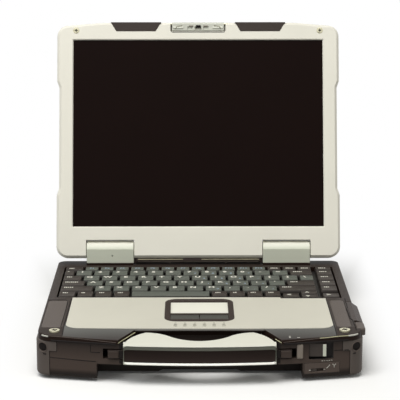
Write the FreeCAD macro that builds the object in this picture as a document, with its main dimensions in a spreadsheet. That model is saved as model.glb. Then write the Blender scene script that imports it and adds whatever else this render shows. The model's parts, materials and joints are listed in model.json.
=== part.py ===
import FreeCAD, Part
import math
import os

import Sketcher

# A rugged laptop computer: a cast base with a keyboard, a palm rest and a pull-out
# carrying handle, and a thick lid that turns on two large hinges.
# Millimetres. X points to the user's right, Y to the back, Z up. The origin lies on the
# table, in the middle of the base's width. The lid's pieces are drawn shut, flat over the
# base, and then turned open about the hinge line.

doc = FreeCAD.newDocument("laptop")
sheet = doc.addObject("Spreadsheet::Sheet", "Sizes")
Vector = FreeCAD.Vector
Rotation = FreeCAD.Rotation
Placement = FreeCAD.Placement


# Sizes

class Size:
    """A length as a formula on the spreadsheet, with the number that it gives now."""

    def __init__(self, formula, number):
        self.formula = formula
        self.number = number

    def joined(self, sign, other, number):
        return Size(f"({self.formula} {sign} {other.formula})", number)

    def __add__(self, other):
        other = as_size(other)
        return self.joined("+", other, self.number + other.number)

    def __sub__(self, other):
        other = as_size(other)
        return self.joined("-", other, self.number - other.number)

    def __mul__(self, other):
        other = as_size(other)
        return self.joined("*", other, self.number * other.number)

    def __truediv__(self, other):
        other = as_size(other)
        return self.joined("/", other, self.number / other.number)

    def __radd__(self, other):
        return as_size(other) + self

    def __rsub__(self, other):
        return as_size(other) - self

    def __rmul__(self, other):
        return as_size(other) * self

    def __neg__(self):
        return Size(f"(-1 * {self.formula})", -self.number)


def as_size(value):
    return value if isinstance(value, Size) else Size(repr(float(value)), float(value))


def size(alias, value):
    """Writes one driving dimension into the sheet and returns it."""
    row = len(size.rows) + 1
    size.rows.append(alias)
    sheet.set(f"A{row}", alias)
    sheet.set(f"B{row}", str(value))
    sheet.setAlias(f"B{row}", alias)
    sheet.recompute()
    return Size(f"Sizes.{alias}", float(sheet.get(alias)))


size.rows = []

# Base: outside
base_width = size("base_width", 302)
base_rear = size("base_rear", 135)
base_front = size("base_front", 132)
front_bow = size("front_bow", 20)
deck_height = size("deck_height", 45)
deck_thickness = size("deck_thickness", 7.5)
foot_height = size("foot_height", 2.5)
foot_radius = size("foot_radius", 8)
foot_inset = size("foot_inset", 26)
foot_sink = size("foot_sink", 0.6)
deck_lip = size("deck_lip", 1)
front_corner = size("front_corner", 14)
rear_corner = size("rear_corner", 9)
case_edge = size("case_edge", 4)
deck_edge = size("deck_edge", 1.2)
deck_slope = size("deck_slope", 3.5)
rear_drop = size("rear_drop", 0.5)
rear_step_margin = size("rear_step_margin", 0.8)
half_base = base_width / 2
half_case = half_base - deck_lip
split_height = deck_height - deck_thickness
# Base: walls and clearances
case_floor = size("case_floor", 2.5)
side_wall = size("side_wall", 9)
rear_wall = size("rear_wall", 9)
front_block = size("front_block", 38)
seam_gap = size("seam_gap", 0.3)
running_gap = size("running_gap", 0.05)
sliding_gap = size("sliding_gap", 0.3)
floor_top = foot_height + case_floor
cavity_half = half_case - side_wall
cavity_rear = base_rear - deck_lip - rear_wall
cavity_front = front_block - base_front
# Base: front
recess_half = size("recess_half", 72.5)
recess_set = size("recess_set", 14.4)
notch_set = size("notch_set", 14)
notch_side = size("notch_side", 14.5)
notch_slant = size("notch_slant", 18)
undercut_reach = size("undercut_reach", 23)
undercut_top = size("undercut_top", 18)
toe_half = size("toe_half", 31)
toe_slant = size("toe_slant", 8)
toe_height = size("toe_height", 3)
guard_width = size("guard_width", 11)
guard_depth = size("guard_depth", 26)
guard_proud = size("guard_proud", 1.8)
guard_edge = size("guard_edge", 1.5)
guard_tab_width = size("guard_tab_width", 7)
guard_tab_depth = size("guard_tab_depth", 5)
guard_tab_tall = size("guard_tab_tall", 9.7)
guard_hole_radius = size("guard_hole_radius", 4.2)
guard_hole_depth = size("guard_hole_depth", 5)
guard_hole_drop = size("guard_hole_drop", 6.7)
guard_hole_inset = size("guard_hole_inset", 4.6)
guard_hole_reach = size("guard_hole_reach", 0.8)
guard_hole_angle = size("guard_hole_angle", 14)
guard_hole_height = split_height - guard_hole_drop
recess_back = base_front - recess_set
notch_edge = base_front - notch_set
notch_half = recess_half - notch_side
undercut_half = recess_half + undercut_reach
# Carrying handle
handle_side_gap = size("handle_side_gap", 2)
handle_reach = size("handle_reach", 5)
handle_bow = size("handle_bow", 4.5)
handle_sink = size("handle_sink", 3)
handle_tall = size("handle_tall", 21.9)
handle_drop = size("handle_drop", 4.5)
handle_skin = size("handle_skin", 3)
handle_block = size("handle_block", 13)
handle_end_gap = size("handle_end_gap", 31.2)
handle_peak_gap = size("handle_peak_gap", 5.2)
handle_peak_side = size("handle_peak_side", 20.5)
handle_mid_gap = size("handle_mid_gap", 12.2)
handle_mid_side = size("handle_mid_side", 40.5)
handle_dip = size("handle_dip", 12)
handle_wave = size("handle_wave", 40)
handle_travel = size("handle_travel", 18)
groove_radius = size("groove_radius", 5)
groove_offset = size("groove_offset", 1)
groove_drop = size("groove_drop", 13.5)
groove_end = size("groove_end", 3.2)
grip_skin = size("grip_skin", 1.6)
ear_width = size("ear_width", 14.5)
ear_height = size("ear_height", 8)
ear_rise = size("ear_rise", 7.9)
ear_front = size("ear_front", 10)
ear_gap = size("ear_gap", 1)
arm_radius = size("arm_radius", 3)
arm_collar_radius = size("arm_collar_radius", 5)
arm_collar_length = size("arm_collar_length", 3)
handle_half = recess_half - handle_side_gap
handle_peak_x = handle_half - handle_peak_side
handle_mid_x = handle_half - handle_mid_side
handle_top = deck_height - handle_sink
handle_bottom = handle_top - handle_tall
ear_centre_height = handle_bottom + ear_rise
handle_front = base_front + front_bow + handle_reach
handle_peak = notch_edge + handle_peak_gap
ear_back = recess_back + ear_gap
arm_x = handle_half + ear_width / 2
# Front switches
switch_inset = size("switch_inset", 50)
switch_width = size("switch_width", 22.5)
switch_height = size("switch_height", 15)
switch_drop = size("switch_drop", 1)
switch_reach = size("switch_reach", 4)
switch_slider = size("switch_slider", 16)
switch_under = size("switch_under", 2.3)
switch_depth = size("switch_depth", 4.5)
switch_rib = size("switch_rib", 3.5)
switch_rib_proud = size("switch_rib_proud", 1)
radio_plate_inset = size("radio_plate_inset", 54)
radio_plate_width = size("radio_plate_width", 33)
radio_plate_low = size("radio_plate_low", 7.5)
radio_plate_drop = size("radio_plate_drop", 4)
radio_plate_reach = size("radio_plate_reach", 1)
radio_slot_inset = size("radio_slot_inset", 48)
radio_slot_width = size("radio_slot_width", 12)
radio_slot_rise = size("radio_slot_rise", 1.8)
radio_slot_tall = size("radio_slot_tall", 3)
radio_slot_reach = size("radio_slot_reach", 4.5)
radio_slider = size("radio_slider", 5)
radio_slider_depth = size("radio_slider_depth", 4.4)
switch_left = half_base - switch_inset
switch_top = split_height - switch_drop
switch_floor = base_front + switch_reach
radio_plate_left = half_base - radio_plate_inset
radio_plate_back = base_front + radio_plate_reach
radio_slot_left = half_base - radio_slot_inset
radio_slot_floor = base_front + radio_slot_reach
# Palm rest
palm_margin = size("palm_margin", 25)
palm_rear = size("palm_rear", 14)
palm_front_gap = size("palm_front_gap", 3)
palm_bow = size("palm_bow", 3)
palm_corner = size("palm_corner", 12)
palm_thickness = size("palm_thickness", 1.6)
palm_proud = size("palm_proud", 0.2)
palm_step_gap = size("palm_step_gap", 2)
pad_gap = size("pad_gap", 3)
pad_edge = size("pad_edge", 2)
pad_front_gap = size("pad_front_gap", 16)
pad_rear = size("pad_rear", 24)
pad_corner = size("pad_corner", 4)
pad_thickness = size("pad_thickness", 1.4)
deck_screw_inset = size("deck_screw_inset", 15.5)
deck_screw_set = size("deck_screw_set", 7.5)
deck_screw_radius = size("deck_screw_radius", 5)
deck_screw_head = size("deck_screw_head", 1.8)
deck_screw_sink = size("deck_screw_sink", 1.6)
screw_slot_reach = size("screw_slot_reach", 3)
screw_slot_half = size("screw_slot_half", 0.6)
palm_half = half_base - palm_margin
palm_front = notch_edge - palm_front_gap
pad_front = base_front - pad_front_gap
deck_screw_y = base_front - deck_screw_set
# Touchpad
bezel_half = size("bezel_half", 33.5)
bezel_rear = size("bezel_rear", 21)
bezel_tall = size("bezel_tall", 77)
bezel_corner = size("bezel_corner", 12)
bezel_depth = size("bezel_depth", 3.2)
bezel_proud = size("bezel_proud", 0.8)
bezel_floor = size("bezel_floor", 1)
touch_half = size("touch_half", 28)
touch_rim = size("touch_rim", 9)
touch_tall = size("touch_tall", 42)
touch_thickness = size("touch_thickness", 1.6)
button_gap = size("button_gap", 4)
button_tall = size("button_tall", 16)
button_split = size("button_split", 0.8)
button_thickness = size("button_thickness", 1.4)
button_travel = size("button_travel", 0.8)
status_y = size("status_y", 107.5)
status_pitch = size("status_pitch", 9.1)
status_width = size("status_width", 3)
status_tall = size("status_tall", 1.6)
touch_rear = bezel_rear + touch_rim
touch_front = touch_rear + touch_tall
button_rear = touch_front + button_gap
button_front = button_rear + button_tall
bezel_front = bezel_rear + bezel_tall
tray_bottom = deck_height - bezel_depth
tray_top = tray_bottom + bezel_floor
# Keyboard
well_margin = size("well_margin", 8.5)
well_front = size("well_front", 11.5)
well_rear_gap = size("well_rear_gap", 28.5)
well_dip = size("well_dip", 4)
ledge_width = size("ledge_width", 4)
ledge_drop = size("ledge_drop", 6.4)
key_plate_thickness = size("key_plate_thickness", 0.9)
membrane_thickness = size("membrane_thickness", 0.5)
key_margin = size("key_margin", 0.6)
column_gap = size("column_gap", 2.5)
function_depth = size("function_depth", 14.8)
key_gap = size("key_gap", 0.9)
key_taper = size("key_taper", 1.7)
key_height = size("key_height", 3.5)
key_travel = size("key_travel", 2)
key_wall = size("key_wall", 1.2)
key_clear = size("key_clear", 0.2)
dome_radius = size("dome_radius", 2.6)
dome_tip = size("dome_tip", 1.6)
well_half = half_base - well_margin
well_rear = base_rear - well_rear_gap
ledge_height = deck_height - ledge_drop
key_unit = (2 * well_half - 2 * key_margin - column_gap) / 15
row_pitch = (well_front + well_rear - 2 * key_margin - function_depth) / 5
membrane_top = ledge_height + key_plate_thickness + membrane_thickness
key_bottom = membrane_top + key_travel + key_clear
# Hinge
axis_inset = size("axis_inset", 8)
axis_rise = size("axis_rise", 12)
barrel_radius = size("barrel_radius", 11.5)
hinge_inset = size("hinge_inset", 31)
hinge_width = size("hinge_width", 50.6)
hinge_flat_set = size("hinge_flat_set", 1.1)
hinge_flat_rise = size("hinge_flat_rise", 5)
plinth_rise = size("plinth_rise", 2)
hinge_edge = size("hinge_edge", 1)
pin_radius = size("pin_radius", 2.5)
pin_grip = size("pin_grip", 10)
open_angle = size("open_angle", 106.5)
bar_radius = size("bar_radius", 12.2)
bar_end_gap = size("bar_end_gap", 2.4)
axis_y = base_rear - axis_inset
axis_z = deck_height + axis_rise
hinge_outer = half_base - hinge_inset
hinge_inner = hinge_outer - hinge_width
rear_step = deck_height - rear_drop
plinth_top = deck_height + plinth_rise
# Lid
axis_setback = size("axis_setback", 7)
lid_height = size("lid_height", 255)
lid_inset = size("lid_inset", 1)
lid_guard_proud = size("lid_guard_proud", 2.5)
lid_guard_upper = size("lid_guard_upper", 64)
lid_guard_lower = size("lid_guard_lower", 67.5)
lid_guard_ramp = size("lid_guard_ramp", 7)
lid_shoulder = size("lid_shoulder", 4)
lid_shoulder_run = size("lid_shoulder_run", 46)
lid_corner = size("lid_corner", 12)
lid_gap = size("lid_gap", 2.5)
lid_thickness = size("lid_thickness", 21)
lid_wall = size("lid_wall", 2)
lid_edge = size("lid_edge", 5)
bezel_thickness = size("bezel_thickness", 3)
bezel_bevel = size("bezel_bevel", 2.4)
notch_gap = size("notch_gap", 0.6)
screen_side = size("screen_side", 15)
screen_low = size("screen_low", 33.5)
screen_high = size("screen_high", 19)
screen_bevel = size("screen_bevel", 1)
glass_margin = size("glass_margin", 3)
glass_thickness = size("glass_thickness", 1)
panel_margin = size("panel_margin", 5)
panel_thickness = size("panel_thickness", 7)
back_panel_inset = size("back_panel_inset", 34)
back_panel_rise = size("back_panel_rise", 1.5)
bumper_inner = size("bumper_inner", 40)
bumper_width = size("bumper_width", 54.5)
bumper_slant = size("bumper_slant", 6)
bumper_tall = size("bumper_tall", 9.5)
bumper_proud = size("bumper_proud", 0.3)
bumper_depth = size("bumper_depth", 8)
bezel_screw_side = size("bezel_screw_side", 18)
bezel_screw_drop = size("bezel_screw_drop", 8.7)
bezel_screw_radius = size("bezel_screw_radius", 3.4)
bezel_screw_head = size("bezel_screw_head", 1)
screw_shank = size("screw_shank", 1.5)
screw_length = size("screw_length", 9)
boss_radius = size("boss_radius", 4)
boss_side = size("boss_side", 30)
boss_y = size("boss_y", 75)
lid_half = half_base - lid_inset
lid_flat_half = lid_half - lid_shoulder_run
screen_half = lid_half - screen_side
screen_tall = lid_height - screen_low - screen_high
bezel_screw_x = lid_half - bezel_screw_side
boss_x = lid_half - boss_side
lid_rear = axis_y + axis_setback
lid_front = lid_rear - lid_height
lid_bottom = deck_height + lid_gap
lid_top = lid_bottom + lid_thickness
bezel_back = lid_bottom + bezel_thickness
screen_rear = lid_rear - screen_low
screen_front = screen_rear - screen_tall
notch_front = axis_y - barrel_radius - notch_gap
# Lid latch
latch_half = size("latch_half", 28)
latch_side_gap = size("latch_side_gap", 2)
latch_inset = size("latch_inset", 1.2)
latch_reach = size("latch_reach", 7.6)
latch_thickness = size("latch_thickness", 3)
latch_end_gap = size("latch_end_gap", 0.8)
latch_sink = size("latch_sink", 0.2)
latch_window_half = size("latch_window_half", 3.5)
latch_window_from = size("latch_window_from", 3.2)
latch_window_tall = size("latch_window_tall", 3.5)
latch_slot_from = size("latch_slot_from", 5.5)
latch_slot_width = size("latch_slot_width", 6)
latch_grip_from = size("latch_grip_from", 16)
latch_grip_width = size("latch_grip_width", 11)
latch_grip_proud = size("latch_grip_proud", 0.8)
latch_pin_radius = size("latch_pin_radius", 0.8)
latch_pin_grip = size("latch_pin_grip", 2)
catch_half = size("catch_half", 2.6)
catch_reach = size("catch_reach", 2)
catch_tall = size("catch_tall", 0.9)
catch_drop = size("catch_drop", 1.3)
latch_y = lid_front + latch_inset
latch_z = lid_bottom + latch_sink + latch_thickness / 2
# Doors
door_thickness = size("door_thickness", 5)
door_low = size("door_low", 8)
door_top_gap = size("door_top_gap", 4)
door_pin_radius = size("door_pin_radius", 1.4)
door_pin_length = size("door_pin_length", 2.2)
door_pad_side = size("door_pad_side", 4)
door_pad_low = size("door_pad_low", 6.5)
door_pad_high = size("door_pad_high", 2.5)
battery_door_y = size("battery_door_y", -61.5)
battery_door_width = size("battery_door_width", 65)
battery_door_proud = size("battery_door_proud", 5.5)
battery_door_drop = size("battery_door_drop", 0.2)
battery_door_ramp = size("battery_door_ramp", 9)
battery_pad_high = size("battery_pad_high", 0.4)
drive_door_y = size("drive_door_y", 73)
drive_door_width = size("drive_door_width", 102)
drive_door_proud = size("drive_door_proud", 5.5)
drive_pad_end = size("drive_pad_end", 20)
drive_pad_gap = size("drive_pad_gap", 15)
card_door_y = size("card_door_y", 60)
card_door_width = size("card_door_width", 72)
card_door_proud = size("card_door_proud", 6)
card_pad_end = size("card_pad_end", 19)
card_pad_gap = size("card_pad_gap", 18)
port_door_width = size("port_door_width", 104)
port_door_proud = size("port_door_proud", 1.2)
door_high = split_height - door_top_gap
door_axis = door_low + door_thickness / 2
battery_latch_gap = size("battery_latch_gap", 3.5)
battery_latch_length = size("battery_latch_length", 22)
battery_latch_inset = size("battery_latch_inset", 4)
battery_latch_proud = size("battery_latch_proud", 5.7)
battery_latch_drop = size("battery_latch_drop", 0.6)
battery_latch_round = size("battery_latch_round", 3.5)
battery_latch_edge = size("battery_latch_edge", 1.5)
battery_latch_tongue = size("battery_latch_tongue", 3)
battery_latch_travel = size("battery_latch_travel", 3)
tongue_end = size("tongue_end", 4)
tongue_edge = size("tongue_edge", 2)
# Inside
rail_height = size("rail_height", 3.5)
rail_width = size("rail_width", 6)
battery_arm_gap = size("battery_arm_gap", 4)
battery_height = size("battery_height", 22)
battery_side = size("battery_side", 3)
drive_length = size("drive_length", 100)
drive_height = size("drive_height", 14)
drive_width = size("drive_width", 70)
drive_shift = size("drive_shift", 13)
card_side = size("card_side", 3)
card_length = size("card_length", 60)
card_height = size("card_height", 12)
card_wall = size("card_wall", 2)
card_slot_tall = size("card_slot_tall", 5.5)
card_slot_end = size("card_slot_end", 6)
plug_depth = size("plug_depth", 6)
plug_half = size("plug_half", 20)
plug_tall = size("plug_tall", 4)
board_gap = size("board_gap", 4)
board_thickness = size("board_thickness", 1.6)
board_margin = size("board_margin", 5)
board_depth = size("board_depth", 104)
post_radius = size("post_radius", 3)
post_inset = size("post_inset", 8)
post_front = size("post_front", 5)
post_rear = size("post_rear", 6)
speaker_radius = size("speaker_radius", 14)
speaker_height = size("speaker_height", 16)
speaker_side = size("speaker_side", 10)
speaker_front = size("speaker_front", 8)
speaker_rim = size("speaker_rim", 2)
bottom_screw_radius = size("bottom_screw_radius", 3)
bottom_screw_head = size("bottom_screw_head", 1.4)
rail_top = floor_top + rail_height
board_top = split_height - board_gap
board_bottom = board_top - board_thickness
board_half = cavity_half - board_margin
board_rear = cavity_rear - board_margin
board_front = board_rear - board_depth

# Smaller pieces
port_low = size("port_low", 13)
port_length = size("port_length", 12)
port_rim = size("port_rim", 1.2)
port_depth = size("port_depth", 8)
ear_side_gap = size("ear_side_gap", 4.5)
spreader_half = size("spreader_half", 36)
spreader_depth = size("spreader_depth", 70)
spreader_height = size("spreader_height", 3)
fin_pitch = size("fin_pitch", 12)
fin_slot = size("fin_slot", 6)
fin_base = size("fin_base", 1)
spreader_setback = size("spreader_setback", 14)
module_step = size("module_step", 20)
module_gap = size("module_gap", 2)
module_width = size("module_width", 68)
module_depth = size("module_depth", 30)
mic_radius = size("mic_radius", 0.8)
mic_from_inner = size("mic_from_inner", 23)
mic_drop = size("mic_drop", 2.3)
mic_depth = size("mic_depth", 4)
bracket_wall = size("bracket_wall", 1.7)
boss_sink = size("boss_sink", 0.5)
lid_band = size("lid_band", 14)
# Sockets behind the rear door: middle, width and height
PORTS = {}
for port, middle, wide, tall in (
        ("network", -36, 14, 13), ("serial", -9, 30, 10), ("usb", 17, 13, 14), ("power", 38, 10, 10)):
    PORTS[port] = (size(f"{port}_x", middle), size(f"{port}_wide", wide), size(f"{port}_tall", tall))

doc.recompute()

# Longer than the laptop in every direction, for cuts that run right through
WIDE = 400.0
# How far a cutting block runs past the face that it opens
PAST = 1.0


# Drawing helpers

def bind(item, **formulas):
    for name, value in formulas.items():
        item.setExpression(name, as_size(value).formula)


def put(item, x, y, z):
    """Places a solid's own origin at a point given by formulas."""
    for letter, value in zip("xyz", (x, y, z)):
        item.setExpression(f"Placement.Base.{letter}", as_size(value).formula)
    return item


def box(name, x, y, z):
    """A block between two limits on each axis."""
    item = doc.addObject("Part::Box", name)
    (x0, x1), (y0, y1), (z0, z1) = ([as_size(v) for v in pair] for pair in (x, y, z))
    bind(item, Length=x1 - x0, Width=y1 - y0, Height=z1 - z0)
    return put(item, x0, y0, z0)


AXES = {"X": Rotation(Vector(0, 1, 0), 90), "Y": Rotation(Vector(1, 0, 0), -90), "Z": Rotation()}


def rod(name, axis, radius, length, at):
    """A round bar that starts at a point and runs along an axis."""
    item = doc.addObject("Part::Cylinder", name)
    bind(item, Radius=radius, Height=length)
    item.Placement = Placement(Vector(), AXES[axis])
    return put(item, *at)


def fuse(name, *shapes):
    item = doc.addObject("Part::MultiFuse", name)
    item.Shapes = list(shapes)
    return item


def cut(name, base, *tools):
    item = doc.addObject("Part::Cut", name)
    item.Base = base
    item.Tool = tools[0] if len(tools) == 1 else fuse(f"{name}_tools", *tools)
    return item


def common(name, base, tool):
    item = doc.addObject("Part::Common", name)
    item.Base = base
    item.Tool = tool
    return item


def group(name, *shapes):
    item = doc.addObject("Part::Compound", name)
    item.Links = list(shapes)
    return item


def upright(edge):
    """True for a straight edge along Z."""
    low, high = edge.BoundBox.ZMin, edge.BoundBox.ZMax
    flat = edge.BoundBox.XLength < 1e-6 and edge.BoundBox.YLength < 1e-6
    return flat and high - low > 1e-6


def level_at(height):
    """Picks the edges that lie in the level plane at a height."""
    def near(edge):
        return max(abs(edge.BoundBox.ZMin - height), abs(edge.BoundBox.ZMax - height)) < 1e-4
    return near


class Piece:
    """A body that is built up by sketches and features."""

    def __init__(self, name):
        self.body = doc.addObject("PartDesign::Body", name)
        self.count = 0

    def feature(self, kind):
        self.count += 1
        return self.body.newObject(kind, f"{self.body.Name}_{self.count}")

    def sketch(self, role, offset=0):
        sketch = self.feature("Sketcher::SketchObject")
        plane = [item for item in self.body.Origin.OriginFeatures if item.Role == role][0]
        sketch.AttachmentSupport = [(plane, "")]
        sketch.MapMode = "FlatFace"
        bind(sketch, **{"AttachmentOffset.Base.z": offset})
        return sketch

    def pad(self, sketch, length, middle=False):
        pad = self.feature("PartDesign::Pad")
        pad.Profile = sketch
        pad.Midplane = middle
        bind(pad, Length=length)
        doc.recompute()
        return self

    def pocket(self, sketch, length, middle=False, back=False):
        pocket = self.feature("PartDesign::Pocket")
        before = self.body.Shape.Volume
        pocket.Profile = sketch
        pocket.Midplane = middle
        pocket.Reversed = back
        bind(pocket, Length=length)
        doc.recompute()
        if before - self.body.Shape.Volume < 1e-3:
            raise ValueError(f"{pocket.Name} cuts nothing")
        return self

    def dress(self, kind, amount, name, pick):
        shape = self.body.Tip.Shape
        names = [f"Edge{i}" for i, edge in enumerate(shape.Edges, 1) if pick(edge)]
        tip = self.body.Tip
        feature = self.feature(kind)
        feature.Base = (tip, names)
        bind(feature, **{name: amount})
        doc.recompute()
        return self

    def fillet(self, radius, pick):
        return self.dress("PartDesign::Fillet", radius, "Radius", pick)

    def chamfer(self, width, pick):
        return self.dress("PartDesign::Chamfer", width, "Size", pick)


def hold(sketch, index, end, x, y):
    """Fixes one point of a sketch by its distances from the sketch's origin."""
    for kind, value in (("DistanceX", as_size(x)), ("DistanceY", as_size(y))):
        found = sketch.addConstraint(Sketcher.Constraint(kind, -1, 1, index, end, value.number))
        sketch.setExpression(f"Constraints[{found}]", value.formula)


def outline(sketch, points, arcs=None):
    """A closed outline. arcs gives a segment's radius, negative where it bulges to the right."""
    arcs = arcs or {}
    first = sketch.GeometryCount
    places = [Vector(as_size(x).number, as_size(y).number, 0) for x, y in points]
    ends = []
    for i, a in enumerate(places):
        b = places[(i + 1) % len(places)]
        if i not in arcs:
            sketch.addGeometry(Part.LineSegment(a, b))
            ends.append((1, 2))
            continue
        radius = abs(arcs[i].number)
        half = (b - a).Length / 2
        sagitta = radius - math.sqrt(max(radius * radius - half * half, 0))
        side = Vector(a.y - b.y, b.x - a.x, 0).normalize() * math.copysign(sagitta, arcs[i].number)
        middle = (a + b) / 2 + side
        turns_left = arcs[i].number < 0
        sketch.addGeometry(Part.Arc(a, middle, b) if turns_left else Part.Arc(b, middle, a))
        ends.append((1, 2) if turns_left else (2, 1))
    for i, (x, y) in enumerate(points):
        before = i - 1 if i else len(points) - 1
        joint = Sketcher.Constraint("Coincident", first + before, ends[before][1], first + i, ends[i][0])
        sketch.addConstraint(joint)
        hold(sketch, first + i, ends[i][0], x, y)
    for i, radius in arcs.items():
        value = radius if radius.number > 0 else -radius
        found = sketch.addConstraint(Sketcher.Constraint("Radius", first + i, value.number))
        sketch.setExpression(f"Constraints[{found}]", value.formula)
    return sketch


def rectangle(sketch, x, y):
    return outline(sketch, [(x[0], y[0]), (x[1], y[0]), (x[1], y[1]), (x[0], y[1])])


def rounded(sketch, x, y, radius):
    """A rectangle with round corners."""
    (x0, x1), (y0, y1), r = x, y, as_size(radius)
    points = [(x0 + r, y0), (x1 - r, y0), (x1, y0 + r), (x1, y1 - r)]
    points += [(x1 - r, y1), (x0 + r, y1), (x0, y1 - r), (x0, y0 + r)]
    return outline(sketch, points, {1: -r, 3: -r, 5: -r, 7: -r})


def both(value):
    """The limits that lie the same distance either side of the middle."""
    return -as_size(value), as_size(value)


NODES = {}


def node(label, item, pose=None):
    """Names a finished sub-part, and turns it to its pose."""
    item.Label = label
    NODES[label] = item
    if pose is not None:
        item.Placement = pose.multiply(item.Placement)
    return item


def prism(name, role, low, length, points, arcs=None, middle=False):
    """A straight bar with the given outline."""
    piece = Piece(name)
    return piece.pad(outline(piece.sketch(role, low), points, arcs), length, middle)


def span(side, near, far):
    """Limits on X between two distances from the middle, to the left (-1) or the right (1)."""
    return (near, far) if side > 0 else (-as_size(far), -as_size(near))


SIDES = (("left", -1), ("right", 1))


# Base shells

def bowed_outline(sketch, inset, side_inset):
    """The base seen from above: straight sides and back, and a front that bows forward."""
    half = half_base - side_inset
    front, rear = inset - base_front, base_rear - inset
    bow = (half * half + front_bow * front_bow) / (2 * front_bow)
    return outline(sketch, [(-half, front), (half, front), (half, rear), (-half, rear)], {0: -bow})


def shell_blank(name, inset, side_inset, low, high):
    """A full block of the base's outline, with its upright corners rounded."""
    piece = Piece(name)
    piece.pad(bowed_outline(piece.sketch("XY_Plane", low), inset, side_inset), high - low)
    piece.fillet(front_corner, lambda edge: upright(edge) and edge.BoundBox.YMin < 0)
    return piece.fillet(rear_corner, lambda edge: upright(edge) and edge.BoundBox.YMin > 0)


case_blank = shell_blank("case_blank", deck_lip, deck_lip, foot_height, split_height)
case_blank.fillet(case_edge, level_at(foot_height.number))
guard_blank = shell_blank("guard_blank", deck_lip, -guard_proud, foot_height, split_height)
guard_blank.fillet(case_edge, level_at(foot_height.number))
guard_blank.fillet(guard_edge, level_at(split_height.number))

deck_blank = shell_blank("deck_blank", 0, 0, split_height, deck_height)
slope_rear = notch_edge - palm_front_gap / 2
slope_run = base_front + front_bow - slope_rear
slope_end = slope_rear + 1.5 * slope_run
above = deck_height + WIDE
deck_blank.pocket(outline(deck_blank.sketch("YZ_Plane"), [
    (-slope_rear, deck_height), (-slope_rear, above), (-slope_end, above),
    (-slope_end, deck_height - 1.5 * deck_slope)]), WIDE, middle=True)


def deck_rim(edge):
    """Picks the edges round the deck's top, but not the crease where its front slopes down."""
    bounds = edge.BoundBox
    crease = bounds.YLength < 1e-6 and abs(bounds.YMin + slope_rear.number) < 1e-3
    return bounds.ZMin > split_height.number + 1e-3 and not upright(edge) and not crease


deck_blank.fillet(deck_edge, deck_rim)


# Doors that swing down from a pin at their lower edge

def door(name, width, proud, angle, at, top, pads, pad_top):
    """A door and the pocket it closes. Before it is turned, X runs along it and Y into the wall.

    Each raised pad is given by its two ends, and by how long the ramps at those ends are."""
    half = width / 2
    middle = door_thickness / 2
    low = door_low + door_pad_low
    taper = proud / 3
    pieces = [box(f"{name}_plate", both(half), (0, door_thickness), (door_axis, top)),
              rod(f"{name}_foot", "X", middle, width, (-half, middle, door_axis))]
    for i, (start, end, start_ramp, end_ramp) in enumerate(pads, 1):
        pad = doc.addObject("Part::Wedge", f"{name}_pad_{i}")
        bind(pad, Ymin=-proud, Ymax=0, Xmin=start + start_ramp, Xmax=end - end_ramp, X2min=start, X2max=end)
        bind(pad, Zmin=low + taper, Zmax=pad_top - taper, Z2min=low, Z2max=pad_top)
        pieces.append(pad)
    reach = half + door_pin_length
    pieces.append(rod(f"{name}_pins", "X", door_pin_radius, 2 * reach, (-reach, middle, door_axis)))
    leaf = fuse(name, *pieces)
    hole = box(f"{name}_hole", both(half + seam_gap), (-WIDE, door_thickness + seam_gap),
               (door_low - seam_gap, top + seam_gap))
    reach = reach + running_gap
    sockets = rod(f"{name}_sockets", "X", door_pin_radius + running_gap, 2 * reach,
                  (-reach, middle, door_axis))
    pocket = fuse(f"{name}_pocket", hole, sockets)
    for item in (leaf, pocket):
        item.Placement = Placement(Vector(), Rotation(Vector(0, 0, 1), angle))
        put(item, *at)
    return leaf, pocket


def split_pads(width, proud, first, gap):
    """Two pads along a door: the first one ends at a distance from the door's end."""
    near, far = both(width / 2 - door_pad_side)
    ramp = proud / 3
    first_end = first - width / 2
    return [(near, first_end, ramp, ramp), (first_end + gap, far, ramp, ramp)]


door_pad_top = door_high - door_pad_high
battery_door_top = deck_height - battery_door_drop
near, far = both(battery_door_width / 2 - seam_gap)
battery_door, battery_pocket = door(
    "battery_door", battery_door_width, battery_door_proud, 90, (half_case, battery_door_y, 0),
    battery_door_top, [(near, far, seam_gap, battery_door_ramp)], battery_door_top - battery_pad_high)
drive_door, drive_pocket = door(
    "drive_door", drive_door_width, drive_door_proud, -90, (-half_case, drive_door_y, 0),
    door_high, split_pads(drive_door_width, drive_door_proud, drive_pad_end, drive_pad_gap), door_pad_top)
card_door, card_pocket = door(
    "card_door", card_door_width, card_door_proud, 90, (half_case, card_door_y, 0),
    door_high, split_pads(card_door_width, card_door_proud, card_pad_end, card_pad_gap), door_pad_top)
rear_face = base_rear - deck_lip
near, far = both(port_door_width / 2 - door_pad_side)
ramp = port_door_proud / 3
port_door, port_pocket = door(
    "port_door", port_door_width, port_door_proud, 180, (0, rear_face, 0),
    door_high, [(near, far, ramp, ramp)], door_pad_top)

# What slides in behind the side doors, on rails
bay_end = half_case - door_thickness - 2 * seam_gap


def cartridge(name, side, middle, half, length, height):
    """A block behind a side door, the hole it passes through, and the two rails under it."""
    inner = bay_end - length
    y = (middle - half, middle + half)
    block = box(name, span(side, inner, bay_end), y, (rail_top, rail_top + height))
    hole = box(f"{name}_hole", span(side, cavity_half - PAST, bay_end + seam_gap),
               (y[0] - seam_gap, y[1] + seam_gap), (rail_top, rail_top + height + seam_gap))
    rails = []
    for end, place in (("front", y[0]), ("rear", y[1] - rail_width)):
        rail = (place, place + rail_width)
        rails.append(box(f"{name}_{end}_rail", span(side, inner, cavity_half), rail, (floor_top, rail_top)))
    return block, hole, rails


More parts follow.
